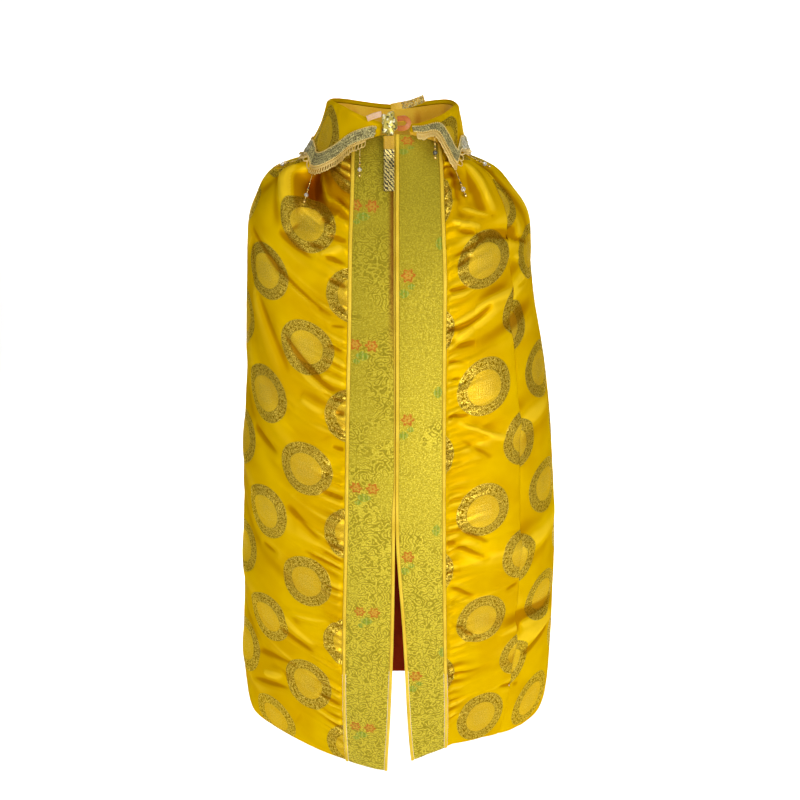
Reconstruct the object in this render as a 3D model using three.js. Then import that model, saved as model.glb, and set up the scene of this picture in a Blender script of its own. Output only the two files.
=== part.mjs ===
// A burial cloak of lined silk brocade, in the hollow form it has when worn, with no wearer.
// Millimetres, +Z up. The front faces -Y and the wearer's left is toward +X.
// The origin is the middle of the neck seam, where the neck holds the cloak.
import * as THREE from 'three';

// Driving dimensions.
const clothWall = 2;
const bandWall = 2.4;
const liningWall = 1;
const collarWall = 1.8;
const seamGap = 0.3;
const bandLift = 0.6;
const pipingWidth = 6.2;
const pipingRise = 2.2;
const braidWidth = 23;
const braidWall = 2.2;
const fringeStripHeight = 3;
const fringeStripWall = 1.8;
const fringeLength = 9;
const fringeGap = 1;
const fringeClear = 7.5;
const pendantGap = 1;
const beadLift = 6;
const strapWall = 2;

// How finely the pieces are divided.
const bodyRows = 34;
const backColumns = 28;
const frontColumns = { right: 10, left: 4 };
const innerFineColumns = 2;
const collarSteps = 48;
const standGathers = 20;
const standStepsPerGather = 3;
const standRows = 3;
const strapSteps = 7;
const halvings = 30;

const degree = Math.PI / 180;

function tableOf(columns, rows) {
  return rows.map((row) => Object.fromEntries(columns.map((column, i) => [column, row[i]])));
}

// Level rings down the body. Heights are at the middle of the front, the side and the back; halves
// are half widths to the wearer's right and left; square fills out (+) or points (-) the corners.
// The band columns are the distances of each front band's edges from the middle of the front, and
// joinAngle is where the wearer's left front is joined to the back.
const rings = tableOf(
  ['name', 'frontZ', 'sideZ', 'backZ', 'rightHalf', 'leftHalf', 'frontDepth', 'backDepth', 'square',
    'rightOuter', 'rightInner', 'leftInner', 'leftOuter', 'joinAngle'],
  [
    ['neck', 27, 4, 12, 97, 95, 80, 74, 0, 72, 0.5, 0.5, 76, 76],
    ['collarLine', -42, -20, -14, 196, 161, 102, 104, 0.02, 72, 0.5, 0.5, 79, 68],
    ['shoulderTop', -90, -48, -55, 226, 193, 122, 132, 0.05, 73, 0.5, 0.5, 80, 60],
    ['shoulderBend', -145, -93, -110, 254, 225, 140, 150, 0.07, 75, 0.5, 0.5, 82, 55],
    ['shoulderEdge', -205, -147, -170, 262, 236, 154, 161, 0.08, 76, 0.5, 0.5, 84, 52],
    ['upperArm', -292, -235, -265, 267, 249, 166, 169, 0.08, 78, 0.5, 0.5, 84, 50],
    ['elbow', -440, -400, -425, 278, 281, 177, 175, 0.08, 83, 0.5, 0.5, 85, 47],
    ['hip', -640, -608, -630, 294, 306, 181, 177, 0.07, 89, 0.5, 0.6, 88, 45],
    ['thigh', -840, -805, -825, 305, 316, 178, 178, 0.04, 97, 3.5, 13, 93, 45],
    ['knee', -1020, -980, -1000, 316, 319, 172, 176, -0.04, 101, 10, 21.5, 99, 45],
    ['hemRise', -1110, -1075, -1095, 315, 315, 168, 168, -0.12, 100, 15, 28, 100, 45],
    ['hem', -1150, -1118, -1157, 309, 307, 165, 160, -0.2, 99, 16.5, 34, 100, 45],
  ],
);
const lastRing = rings.length - 1;
const rightSeamAngle = -100;

// Above the slit the right band's inner piping is tucked in and low, for these lengths below the neck.
const tuck = { width: 1.8, rise: 0.8, from: 590, to: 680 };

// How much shorter than the last ring the cloth is cut at the hem, by the angle from the front.
const hemLines = {
  right: tableOf(['angle', 'lift'], [[0, 0], [10, 2], [24, 9], [60, 8], [85, 0]]),
  left: tableOf(['angle', 'lift'],
    [[0, 16], [6, 25], [15, 39], [25, 51], [37, 41], [45, 26], [52, 12], [62, 0]]),
};

// Large folds, as soft ridges (+) and troughs (-) from one place to another. Angles are degrees
// from the front towards the wearer's left, lengths are millimetres of cloth below the neck, and
// bow is how far the middle of the fold sags below the straight line.
const folds = tableOf(
  ['fromAngle', 'fromLength', 'toAngle', 'toLength', 'height', 'width', 'bow'],
  [
    [-90, 150, -64, 95, 7, 20, 0],
    [-62, 90, -40, 190, 12, 16, 0],
    [-50, 85, -24, 165, -17, 22, 0],
    [-74, 200, -17, 455, 12, 20, 55],
    [-68, 240, -24, 420, -11, 20, 50],
    [-64, 300, -20, 520, 9, 22, 40],
    [-70, 390, -22, 590, 10, 24, 35],
    [-84, 450, -34, 640, -7, 26, 20],
    [-86, 570, -22, 740, 8, 26, 25],
    [-84, 700, -24, 850, -7, 26, 20],
    [-88, 810, -24, 930, 8, 28, 25],
    [-86, 930, -30, 1060, -7, 28, 15],
    [-88, 1040, -40, 1140, 6, 28, 15],
    [50, 70, 47, 175, 9, 16, 0],
    [36, 80, 28, 170, -9, 16, 0],
    [62, 215, 34, 195, -7, 14, 0],
    [20, 335, 68, 285, 8, 20, 0],
    [20, 375, 72, 340, -6, 20, 0],
    [20, 560, 76, 520, 7, 24, -10],
    [20, 770, 80, 740, 8, 26, 10],
    [20, 880, 78, 930, -6, 24, 15],
    [20, 990, 80, 960, 8, 28, -10],
    [76, 110, 84, 280, 6, 22, 0],
    [112, 90, 108, 360, 8, 26, 0],
    [128, 120, 134, 480, -9, 28, 0],
    [150, 100, 156, 620, 9, 30, 0],
    [176, 110, 172, 540, -8, 30, 0],
    [198, 100, 204, 660, 9, 30, 0],
    [220, 110, 214, 420, -9, 26, 0],
    [242, 100, 244, 380, 8, 24, 0],
    [104, 480, 150, 760, 8, 30, 20],
    [120, 700, 182, 980, -8, 32, 20],
    [244, 520, 196, 800, 8, 30, 20],
    [232, 760, 176, 1040, -8, 32, 20],
    [104, 880, 150, 1100, 8, 32, 15],
  ],
);
const foldRadius = 240;
const neckPleats = { count: 12, height: 4.5, start: 15, full: 60, fade: 120, end: 230 };

// The gathers of each front on to its band: crests with hollows between, uneven in spacing, height
// and reach. Reaches are distances from the band, and slope is how much a crest climbs away from it.
const puckers = {
  right: { count: 56, from: 60, to: 1190, height: 4.6, slope: 0.42, panelWidth: 330, phase: 0.4 },
  left: { count: 54, from: 60, to: 1165, height: 4.1, slope: 0.2, panelWidth: 150, phase: 2.1 },
};
const puckerDistances = [0, 6, 15, 27, 41, 58];
const puckerRoot = 0.4;
const puckerEnd = 1.15;
const puckerFade = 80;
const edgeFade = 36;

// The collar in sections round the neck, from the wearer's right front end to the left one. Each
// has its place on the neck seam, its roll line and the edge of its fall; belly bends the fall out.
const collar = tableOf(
  ['name', 'neckAngle', 'rollX', 'rollY', 'rollZ', 'edgeX', 'edgeY', 'edgeZ', 'belly'],
  [
    ['rightEnd', -14, -20, -91, 44, -24, -100, 25, 0],
    ['rightThroat', -40, -56, -77, 57, -68, -100, 11, 3],
    ['rightBreak', -62, -86, -54, 73, -99, -96, -11, 3],
    ['rightCorner', -78, -102, -30, 81, -134, -76, -22, -4],
    ['rightSide', -95, -111, 8, 88, -154, -10, 4, -8],
    ['rightBack', -130, -92, 62, 93, -134, 68, -2, -4],
    ['back', -180, -6, 98, 86, -8, 124, -22, 2],
    ['leftBack', -230, 82, 66, 92, 122, 72, 0, 2],
    ['leftSide', -262, 103, 12, 83, 120, 2, 5, 1],
    ['leftCorner', -282, 97, -22, 74, 101, -74, -16, 3],
    ['leftFall', -298, 86, -45, 65, 84, -88, 8, 2],
    ['leftBreak', -312, 71, -62, 56, 68, -92, 31, 0],
    ['leftThroat', -330, 42, -83, 45, 45, -97, 29, 0],
    ['leftEnd', -345, 22, -91, 42, 25, -99, 31, 0],
  ],
);
const rollSize = 5;
const fallClear = 10;
const rollFullFall = 30;
const lipDepth = 7;
const lipLean = 0.5;
const rollDrop = 0.9;
const rollCentre = { x: -4, y: 4 };
const rollShare = 0.08;

// Pendants of beads: the place is a section number round the collar. The profile is bead shapes
// along a thread, each with its share of the length from the top and its radius.
const pendants = tableOf(
  ['place', 'length', 'size'],
  [
    [0.68, 44, 1], [2.9, 50, 1], [3.8, 44, 1], [4.7, 42, 1], [5.4, 44, 1], [6, 44, 1],
    [6.6, 44, 1], [7.4, 44, 1], [8.3, 42, 1], [9.1, 50, 1.15], [11.1, 36, 1.1],
  ],
);
const pendantProfile = tableOf(
  ['share', 'radius'],
  [[0, 0], [0.02, 0.9], [0.46, 0.9], [0.52, 2.6], [0.6, 1.2], [0.71, 3.9], [0.82, 1.4], [0.92, 2.6], [1, 0]],
);
const pendantSides = 6;

// The tie at the throat. Each strap is a flat band of cloth along its own points.
const knot = { x: -9, y: -103, z: 42, halfWidth: 14, halfDepth: 8, halfHeight: 20, lobes: 5, lobeDepth: 0.1 };
const knotSides = { round: 14, down: 9 };
const straps = {
  tie_strap: { width: 9, points: [[-44, -99, 50], [-33, -102, 54], [-21, -104, 57]] },
  tie_upper_end: { width: 11, points: [[-6, -106, 66.5], [6, -107, 68.5], [24, -105, 72], [46, -100, 80]] },
  tie_loop: {
    width: 8,
    points: [[4, -107, 49], [16, -109.5, 50], [22, -110.5, 43], [16.5, -110.5, 36], [4.5, -108, 35]],
  },
  tie_hanging_end: { width: 17, points: [[-9.5, -108, 24], [-9.5, -109, 14], [-9.5, -110, 4]] },
  tie_tip: { width: 17, points: [[-9.5, -110.3, 3.4], [-9.5, -112, -10], [-9.5, -118, -30], [-9.5, -126, -60]] },
};

// The cloths, as colour, roughness and metalness.
const finishes = {
  satin: { color: 0xd9a312, roughness: 0.42, metalness: 0.1 },
  band: { color: 0xb3a234, roughness: 0.45, metalness: 0.35 },
  piping: { color: 0xe0ba3c, roughness: 0.45, metalness: 0.05 },
  lining: { color: 0x731e0c, roughness: 0.6, metalness: 0 },
  braid: { color: 0x99926b, roughness: 0.4, metalness: 0.5 },
  beads: { color: 0xb58a35, roughness: 0.25, metalness: 0.6 },
  tipBrocade: { color: 0x8a7420, roughness: 0.4, metalness: 0.4 },
};

const clamp = (value, low = 0, high = 1) => Math.min(high, Math.max(low, value));
const smooth = (value) => clamp(value) ** 2 * (3 - 2 * clamp(value));

// A row of a table between two rows, on a smooth curve through them.
function blend(table, place) {
  const last = table.length - 1;
  const at = clamp(place, 0, last - 1e-9);
  const i = Math.floor(at);
  const t = at - i;
  const before = table[Math.max(i - 1, 0)];
  const start = table[i];
  const end = table[i + 1];
  const after = table[Math.min(i + 2, last)];
  const row = {};
  for (const key of Object.keys(start)) {
    if (typeof start[key] !== 'number') continue;
    const [a, b, c, d] = [before[key], start[key], end[key], after[key]];
    row[key] = 0.5 * (2 * b + (c - a) * t + (2 * a - 5 * b + 4 * c - d) * t ** 2
      + (3 * b - a - 3 * c + d) * t ** 3);
  }
  return row;
}

// The plain form of the body, before folds and gathers.
function bodyPoint(angle, ring) {
  const row = blend(rings, ring);
  const across = Math.sin(angle);
  const forward = Math.cos(angle);
  const half = across < 0 ? row.rightHalf : row.leftHalf;
  const depth = forward > 0 ? row.frontDepth : row.backDepth;
  const endZ = forward > 0 ? row.frontZ : row.backZ;
  return new THREE.Vector3(
    half * across * (1 + row.square * forward ** 2),
    -depth * forward * (1 + row.square * across ** 2),
    row.sideZ + (endZ - row.sideZ) * forward ** 2,
  );
}

function bodyNormal(angle, ring) {
  const step = 0.01;
  const low = Math.min(ring, lastRing - step);
  const around = bodyPoint(angle + step, ring).sub(bodyPoint(angle - step, ring));
  const down = bodyPoint(angle, low + step).sub(bodyPoint(angle, Math.max(low - step, 0)));
  return around.cross(down).normalize().negate();
}

// A point at a height over the plain form. Near the bands sideways is 0, which keeps the point in
// its own upright plane, so that neighbours there stay parted by their gap.
function clothPoint(angle, ring, height, sideways = 1) {
  const normal = bodyNormal(angle, ring);
  const upright = new THREE.Vector3(0, normal.y, normal.z);
  upright.divideScalar(upright.lengthSq());
  return bodyPoint(angle, ring).addScaledVector(upright.lerp(normal, sideways), height);
}

const lengthSteps = 20;
const ringLengths = [0];
for (let i = 1; i <= lastRing * lengthSteps; i += 1) {
  const start = bodyPoint(-60 * degree, (i - 1) / lengthSteps);
  const end = bodyPoint(-60 * degree, i / lengthSteps);
  ringLengths.push(ringLengths[i - 1] + start.distanceTo(end));
}

function lengthAt(ring) {
  const at = clamp(ring * lengthSteps, 0, ringLengths.length - 1.000001);
  const i = Math.floor(at);
  return ringLengths[i] + (at - i) * (ringLengths[i + 1] - ringLengths[i]);
}

function ringAt(length) {
  let i = 0;
  while (i < ringLengths.length - 2 && ringLengths[i + 1] < length) i += 1;
  const part = (length - ringLengths[i]) / (ringLengths[i + 1] - ringLengths[i]);
  return clamp((i + part) / lengthSteps, 0, lastRing);
}

function angleAtX(x, ring) {
  let low = 0;
  let high = Math.PI / 2;
  for (let i = 0; i < halvings; i += 1) {
    const middle = (low + high) / 2;
    if (Math.abs(bodyPoint(Math.sign(x) * middle, ring).x) < Math.abs(x)) low = middle;
    else high = middle;
  }
  return Math.sign(x) * low;
}

function foldHeight(angle, ring) {
  const length = lengthAt(ring);
  let height = 0;
  for (const fold of folds) {
    const middle = (fold.fromAngle + fold.toAngle) / 2 * degree;
    const turn = Math.atan2(Math.sin(angle - middle), Math.cos(angle - middle));
    const across = foldRadius * turn;
    const along = length - (fold.fromLength + fold.toLength) / 2;
    const runX = foldRadius * (fold.toAngle - fold.fromAngle) * degree;
    const runY = fold.toLength - fold.fromLength;
    const run = Math.hypot(runX, runY);
    const part = clamp((across * runX + along * runY) / run ** 2 + 0.5);
    const off = Math.hypot(
      across - (part - 0.5) * runX,
      along - (part - 0.5) * runY - fold.bow * 4 * part * (1 - part),
    );
    height += fold.height * Math.sin(Math.PI * part) ** 0.7 * Math.exp(-((off / fold.width) ** 2));
  }
  const { count, height: rise, start, full, fade, end } = neckPleats;
  const reach = smooth((length - start) / (full - start)) * smooth((end - length) / (end - fade));
  return height + rise * reach * Math.cos(count * angle + 0.7 * Math.sin(2 * angle));
}

function hemLift(angle) {
  const line = hemLines[angle < 0 ? 'right' : 'left'];
  const at = Math.abs(angle) / degree;
  let i = 0;
  while (i < line.length - 2 && line[i + 1].angle < at) i += 1;
  const part = clamp((at - line[i].angle) / (line[i + 1].angle - line[i].angle));
  return line[i].lift + part * (line[i + 1].lift - line[i].lift);
}

// The ring at a share of the way down the threads of the cloth that end at an angle of the hem.
function ringAtShare(share, hemAngle) {
  return ringAt(share * (lengthAt(lastRing) - hemLift(hemAngle)));
}

// Closed bodies from edges. An edge is a list of { share, index }, and bridge() fills the strip
// between two edges, which may have different numbers of points. lead says which edge steps first
// where both could, so that neighbouring walls are cut along the same diagonals.
function bridge(triangles, first, second, lead = 1e-9) {
  let i = 0;
  let j = 0;
  while (i < first.length - 1 || j < second.length - 1) {
    const canStepFirst = i < first.length - 1;
    const canStepSecond = j < second.length - 1;
    if (canStepFirst && (!canStepSecond || first[i + 1].share <= second[j + 1].share + lead)) {
      triangles.push(first[i].index, second[j].index, first[i + 1].index);
      i += 1;
    } else {
      triangles.push(first[i].index, second[j].index, second[j + 1].index);
      j += 1;
    }
  }
}

function solidGeometry(points, triangles) {
  let volume = 0;
  for (let i = 0; i < triangles.length; i += 3) {
    const [a, b, c] = [0, 1, 2].map((corner) => points[triangles[i + corner]]);
    volume += a.dot(b.clone().cross(c));
  }
  const facing = volume > 0 ? triangles : triangles.toReversed();
  const geometry = new THREE.BufferGeometry();
  geometry.setAttribute('position', new THREE.Float32BufferAttribute(points.flatMap((p) => p.toArray()), 3));
  geometry.setIndex(facing);
  geometry.computeVertexNormals();
  return geometry;
}

// A cloth wall from an outer and an inner face. Each face is a list of columns, and each column a
// list of { share, point } running the same way.
function wallGeometry(outerFace, innerFace) {
  const points = [];
  const triangles = [];
  const indexed = (face) => face.map((column) => column.map(({ share, point }) => {
    points.push(point);
    return { share, index: points.length - 1 };
  }));
  const outer = indexed(outerFace);
  const inner = indexed(innerFace);
  const across = (face, pick) => face.map((column, i) => (
    { share: i / (face.length - 1), index: pick(column).index }));
  const top = (column) => column[0];
  const bottom = (column) => column[column.length - 1];
  for (let i = 0; i < outer.length - 1; i += 1) bridge(triangles, outer[i], outer[i + 1]);
  for (let i = 0; i < inner.length - 1; i += 1) bridge(triangles, inner[i + 1], inner[i], -1e-9);
  bridge(triangles, inner[0], outer[0]);
  bridge(triangles, outer[outer.length - 1], inner[inner.length - 1]);
  bridge(triangles, across(outer, top), across(inner, top));
  bridge(triangles, across(inner, bottom), across(outer, bottom));
  return solidGeometry(points, triangles);
}

// A bar through sections of the same number of points, closed by a fan at each end.
function barGeometry(sections) {
  const size = sections[0].length;
  const points = sections.flat();
  const triangles = [];
  for (let i = 0; i < sections.length - 1; i += 1) {
    for (let j = 0; j < size; j += 1) {
      const next = (j + 1) % size;
      const here = i * size;
      const there = here + size;
      triangles.push(here + j, here + next, there + next, here + j, there + next, there + j);
    }
  }
  const end = (sections.length - 1) * size;
  for (let j = 1; j < size - 1; j += 1) {
    triangles.push(0, j + 1, j, end, end + j, end + j + 1);
  }
  return solidGeometry(points, triangles);
}

const evenShares = (count) => Array.from({ length: count + 1 }, (_, i) => i / count);

function wallOf(columnPoint, outerColumns, innerColumns, shares) {
  const face = (columns, isOuter) => columns.map((column) => shares.map((share) => (
    { share, point: columnPoint(column, share, isOuter) })));
  return wallGeometry(face(outerColumns, true), face(innerColumns, false));
}

// The fronts: gathered finely beside the band, plain and folded beyond it.
const sides = {
  right: { sign: -1, inner: 'rightInner', outer: 'rightOuter' },
  left: { sign: 1, inner: 'leftInner', outer: 'leftOuter' },
};

const gapAngle = seamGap / 2 / foldRadius;
const joinAngleAt = (share) => blend(rings, ringAtShare(share, Math.PI)).joinAngle * degree;

function seamAngle(side, share) {
  return side === 'right' ? rightSeamAngle * degree + gapAngle : joinAngleAt(share) - gapAngle;
}

// The ring and the angle of a place of the front, which is a share of the way down and of the way
// across from the band.
function frontPlace(side, share, across) {
  const { sign, outer } = sides[side];
  const bandEdge = (ring) => angleAtX(sign * (blend(rings, ring)[outer] + seamGap), ring);
  const hemStart = bandEdge(lastRing);
  const hemAngle = hemStart + (seamAngle(side, 1) - hemStart) * across;
  const start = bandEdge(ringAtShare(share, hemStart));
  return {
    ring: ringAtShare(share, hemAngle),
    angle: start + (seamAngle(side, share) - start) * across,
  };
}

function frontPoint(side, share, across, isOuter, rise = 0) {
  const { angle, ring } = frontPlace(side, share, across);
  const beyondEdge = smooth(across * puckers[side].panelWidth / edgeFade);
  const fold = foldHeight(angle, ring) * beyondEdge;
  return clothPoint(angle, ring, fold + (isOuter ? rise : -clothWall), beyondEdge);
}

// The rows of one gathered edge: hollow, crest, hollow, crest, down the band.
function puckerRows(side) {
  const { count, from, to, phase } = puckers[side];
  const whole = lengthAt(lastRing);
  const crestPlace = (k) => (from + (to - from) * (k + 0.5 + 0.24 * Math.sin(2.4 * k + phase)) / count) / whole;
  const rows = [{ share: 0, height: 0, reach: 1 }];
  for (let k = 0; k < count; k += 1) {
    const hollow = k === 0 ? from / whole : (crestPlace(k - 1) + crestPlace(k)) / 2;
    rows.push({ share: hollow, height: 0, reach: 1 });
    rows.push({
      share: crestPlace(k),
      height: puckers[side].height * (1 + 0.4 * Math.sin(1.7 * k + phase)),
      reach: 40 + 18 * Math.sin(3.3 * k + phase),
    });
  }
  rows.push({ share: 1, height: 0, reach: 1 });
  return rows;
}

function frontGeometry(side) {
  const { panelWidth, slope } = puckers[side];
  const whole = lengthAt(lastRing);
  const rows = puckerRows(side);
  const fine = puckerDistances.map((distance) => rows.map(({ share, height, reach }) => {
    const root = puckerRoot + (1 - puckerRoot) * smooth(distance / puckerDistances[1]);
    const rise = height * root * smooth(puckerEnd - distance / reach);
    const ends = smooth(share * whole / puckerFade) * smooth((1 - share) * whole / puckerFade);
    const placed = share - ends * slope * distance / whole;
    return { share: placed, point: frontPoint(side, placed, distance / panelWidth, true, rise) };
  }));
  const start = puckerDistances.at(-1) / panelWidth;
  const plain = evenShares(frontColumns[side]).slice(1).map((part) => start + (1 - start) * part);
  const shares = evenShares(bodyRows);
  const column = (across, isOuter) => shares.map((share) => (
    { share, point: frontPoint(side, share, across, isOuter) }));
  const outerFace = [...fine, ...plain.map((across) => column(across, true))];
  const nearBand = evenShares(innerFineColumns).map((part) => part * start);
  const innerFace = [...nearBand, ...plain].map((across) => column(across, false));
  return wallGeometry(outerFace, innerFace);
}

// The back, from the join on the wearer's left round to the seam on the right.
function backAngle(share, across) {
  const start = joinAngleAt(share) + gapAngle;
  const end = (360 + rightSeamAngle) * degree - gapAngle;
  return start + (end - start) * across;
}

function backPoint(share, across, depth) {
  const angle = backAngle(share, across);
  const ring = ringAtShare(share, backAngle(1, across));
  return clothPoint(angle, ring, foldHeight(angle, ring) - depth);
}

function backGeometry() {
  const columns = evenShares(backColumns);
  const depth = { true: 0, false: clothWall };
  return wallOf((across, share, isOuter) => backPoint(share, across, depth[isOuter]),
    columns, columns, evenShares(bodyRows));
}

// The lining of the lower back, which shows between the bands.
const liningColumns = { from: 11, to: 21 };
const liningRows = { from: 16, to: bodyRows };

function liningGeometry() {
  const columns = evenShares(backColumns).slice(liningColumns.from, liningColumns.to + 1);
  const shares = evenShares(bodyRows).slice(liningRows.from, liningRows.to + 1);
  const outerDepth = clothWall + seamGap;
  return wallOf(
    (across, share, isOuter) => backPoint(share, across, outerDepth + (isOuter ? 0 : liningWall)),
    columns, columns, shares,
  );
}

// The bands and their pipings lie on the plain form, in strips parted by upright planes. Distances
// are away from the middle, from the band's inner or outer edge.
function stripPoint(side, share, edge, distance, height) {
  const column = sides[side][edge];
  const hemAngle = angleAtX(sides[side].sign * (rings[lastRing][column] + distance), lastRing);
  const ring = ringAtShare(share, hemAngle);
  const x = Math.max(blend(rings, ring)[column] + distance, seamGap);
  return clothPoint(angleAtX(sides[side].sign * x, ring), ring, height, 0);
}

// Above the slit the right band's inner piping is tucked behind the left one.
function innerPiping(side, share) {
  const length = share * lengthAt(lastRing);
  const shown = side === 'left' ? 1 : smooth((length - tuck.from) / (tuck.to - tuck.from));
  return {
    width: tuck.width + (pipingWidth - tuck.width) * shown,
    rise: tuck.rise + (pipingRise - tuck.rise) * shown,
  };
}

function bandGeometry(side) {
  const { inner, outer } = sides[side];
  const columns = ['start', 'middle', 'end'];
  return wallOf((column, share, isOuter) => {
    const row = blend(rings, share * lastRing);
    const [edge, distance] = {
      start: ['inner', innerPiping(side, share).width + seamGap],
      middle: ['inner', (row[outer] - row[inner]) / 2],
      end: ['outer', -pipingWidth - seamGap],
    }[column];
    return stripPoint(side, share, edge, distance, isOuter ? bandLift : bandLift - bandWall);
  }, columns, columns, evenShares(bodyRows));
}

function pipingGeometry(side, edge) {
  const sections = evenShares(bodyRows).map((share) => {
    const isInner = edge === 'inner';
    const { width, rise } = isInner ? innerPiping(side, share) : { width: pipingWidth, rise: pipingRise };
    const at = (part, height) => stripPoint(side, share, edge, (isInner ? part : part - 1) * width, height);
    return [at(0, -clothWall), at(0, rise / 2), at(0.5, rise), at(1, rise / 2), at(1, -clothWall)];
  });
  return barGeometry(sections);
}

// The shoulders end at this ring.
const shoulderRing = 5;
const ringStep = 0.005;

// The angle and ring of the cloth under a point of the shoulders.
function placeUnder(point) {
  const shape = (ring) => {
    const row = blend(rings, ring);
    const half = point.x < 0 ? row.rightHalf : row.leftHalf;
    const depth = point.y < 0 ? row.frontDepth : row.backDepth;
    return [point.x / half, -point.y / depth];
  };
  let low = 0;
  let high = shoulderRing;
  for (let i = 0; i < halvings; i += 1) {
    const middle = (low + high) / 2;
    if (Math.hypot(...shape(middle)) > 1) low = middle;
    else high = middle;
  }
  return { angle: Math.atan2(...shape(low)), ring: low };
}

function heightOverShoulders(point) {
  const { angle, ring } = placeUnder(point);
  return point.z - clothPoint(angle, ring, foldHeight(angle, ring)).z;
}

function raisedOverShoulders(point, clear) {
  point.z += Math.max(0, clear - heightOverShoulders(point));
  return point;
}

// A point on the shoulders, a length down the cloth from another, at a height over it.
function downShoulders(start, length, lift) {
  const { angle, ring } = placeUnder(start);
  const at = (down) => clothPoint(angle, down, lift + foldHeight(angle, down));
  let down = ring;
  while (down < shoulderRing && at(down).distanceTo(start) < length) down += ringStep;
  return at(down);
}

// Where something of a length ends that hangs along a heading, or that lies on the shoulders where
// these are in its way.
function hangFrom(start, heading, length, clear) {
  const free = start.clone().addScaledVector(heading, length);
  return heightOverShoulders(free) > clear ? free : downShoulders(start, length, clear);
}

// The collar's fall: a lip inside the neck, the roll, and the fall down to its edge.
const collarEnd = collar.length - 1;

function collarFrame(place) {
  const row = blend(collar, place);
  const roll = new THREE.Vector3(row.rollX, row.rollY, row.rollZ);
  const edge = raisedOverShoulders(new THREE.Vector3(row.edgeX, row.edgeY, row.edgeZ), fallClear);
  const outward = new THREE.Vector3(row.rollX - rollCentre.x, row.rollY - rollCentre.y, 0).normalize();
  const fullness = clamp(roll.distanceTo(edge) / rollFullFall, 0.25, 1);
  return { row, roll, edge, outward, fullness };
}

// Distance down the fall: below 0 is the lip, 0 the crest of the roll and 1 the edge.
function fallPoint(place, down) {
  const { row, roll, edge, outward, fullness } = collarFrame(place);
  if (down < 0) {
    return roll.addScaledVector(outward, lipLean * rollSize * fullness * down)
      .add(new THREE.Vector3(0, 0, lipDepth * fullness * down));
  }
  const shoulder = roll.clone().addScaledVector(outward, rollSize * fullness);
  shoulder.z -= rollDrop * rollSize * fullness;
  const middle = shoulder.clone().lerp(edge, 0.5).addScaledVector(outward, row.belly);
  if (down < rollShare) return roll.lerp(shoulder, down / rollShare);
  const t = (down - rollShare) / (1 - rollShare);
  return shoulder.multiplyScalar((1 - t) ** 2).addScaledVector(middle, 2 * t * (1 - t))
    .addScaledVector(edge, t ** 2);
}

function fallNormal(place, down) {
  const step = 0.02;
  const near = clamp(place, step, collarEnd - step);
  const around = fallPoint(near + step, down).sub(fallPoint(near - step, down));
  const along = fallPoint(place, Math.min(down + step, 1)).sub(fallPoint(place, down - step));
  return around.cross(along).normalize();
}

function fallFacePoint(place, down, height) {
  return fallPoint(place, down).addScaledVector(fallNormal(place, down), height);
}

function fallLength(place) {
  let length = 0;
  for (let i = 0; i < 10; i += 1) length += fallPoint(place, i / 10).distanceTo(fallPoint(place, (i + 1) / 10));
  return length;
}

// The rows of the fall: lip, crest, then down to the top of the braid and to the edge.
const collarPlaces = evenShares(collarSteps).map((share) => share * collarEnd);
const fallRows = [-1, 0, 0.1, 0.35, 0.68, 1, 2];

function fallRowAt(place, row) {
  const braidTop = clamp(1 - braidWidth / fallLength(place), 0.3, 1);
  if (row <= 0) return row;
  return row <= 1 ? row * braidTop : braidTop + (row - 1) * (1 - braidTop);
}

function collarFallGeometry() {
  return wallOf(
    (place, row, isOuter) => fallFacePoint(place, fallRowAt(place, row), isOuter ? 0 : -collarWall),
    collarPlaces, collarPlaces, fallRows,
  );
}

// The gathered stand, from just over the neck seam up to the lip.
const standInset = 2.6;
const standClear = 1.4;
const standGather = 1.8;
const standDepth = 0.1;
const standWall = 1.3;

function collarStandGeometry() {
  const steps = standGathers * standStepsPerGather;
  const places = evenShares(steps).map((share) => share * collarEnd);
  return wallOf((place, up, isOuter) => {
    const { row, outward } = collarFrame(place);
    const foot = bodyPoint(row.neckAngle * degree, 0).addScaledVector(outward, -standInset);
    foot.z += standClear;
    const top = fallPoint(place, -1);
    top.z -= standClear;
    const wave = Math.cos(place / collarEnd * standGathers * 2 * Math.PI);
    const gather = standGather * wave * Math.sin(Math.PI * up * 0.9);
    return foot.lerp(top, up).addScaledVector(outward, gather - standDepth + (isOuter ? 0 : standWall));
  }, places, places, evenShares(standRows));
}

function braidGeometry() {
  const places = collarPlaces.slice(1, -1);
  return wallOf(
    (place, row, isOuter) => (
      fallFacePoint(place, fallRowAt(place, row), seamGap + (isOuter ? braidWall : 0))),
    places, places, [1, 2],
  );
}

// The fringe: a strip just under the fall's edge, with a pointed loop below each half stretch of it.
const fringeColumns = collarPlaces.slice(2, -2);
const fringeStrands = 2 * (fringeColumns.length - 1);

// The front and back corners of the fringe's strip at a drop below the edge, and in between the
// columns of the collar, the middle of their neighbours.
function fringeCorners(step, drop, clear) {
  if (step % 2 === 1) {
    const before = fringeCorners(step - 1, drop, clear);
    const after = fringeCorners(step + 1, drop, clear);
    return before.map((corner, i) => corner.lerp(after[i], 0.5));
  }
  const place = fringeColumns[step / 2];
  const normal = fallNormal(place, 1);
  const down = fallPoint(place, 1).sub(fallPoint(place, 0.9)).normalize();
  const end = hangFrom(fallPoint(place, 1), down, fringeGap + drop, clear);
  return [0, -fringeStripWall].map((height) => end.clone().addScaledVector(normal, height));
}

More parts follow.
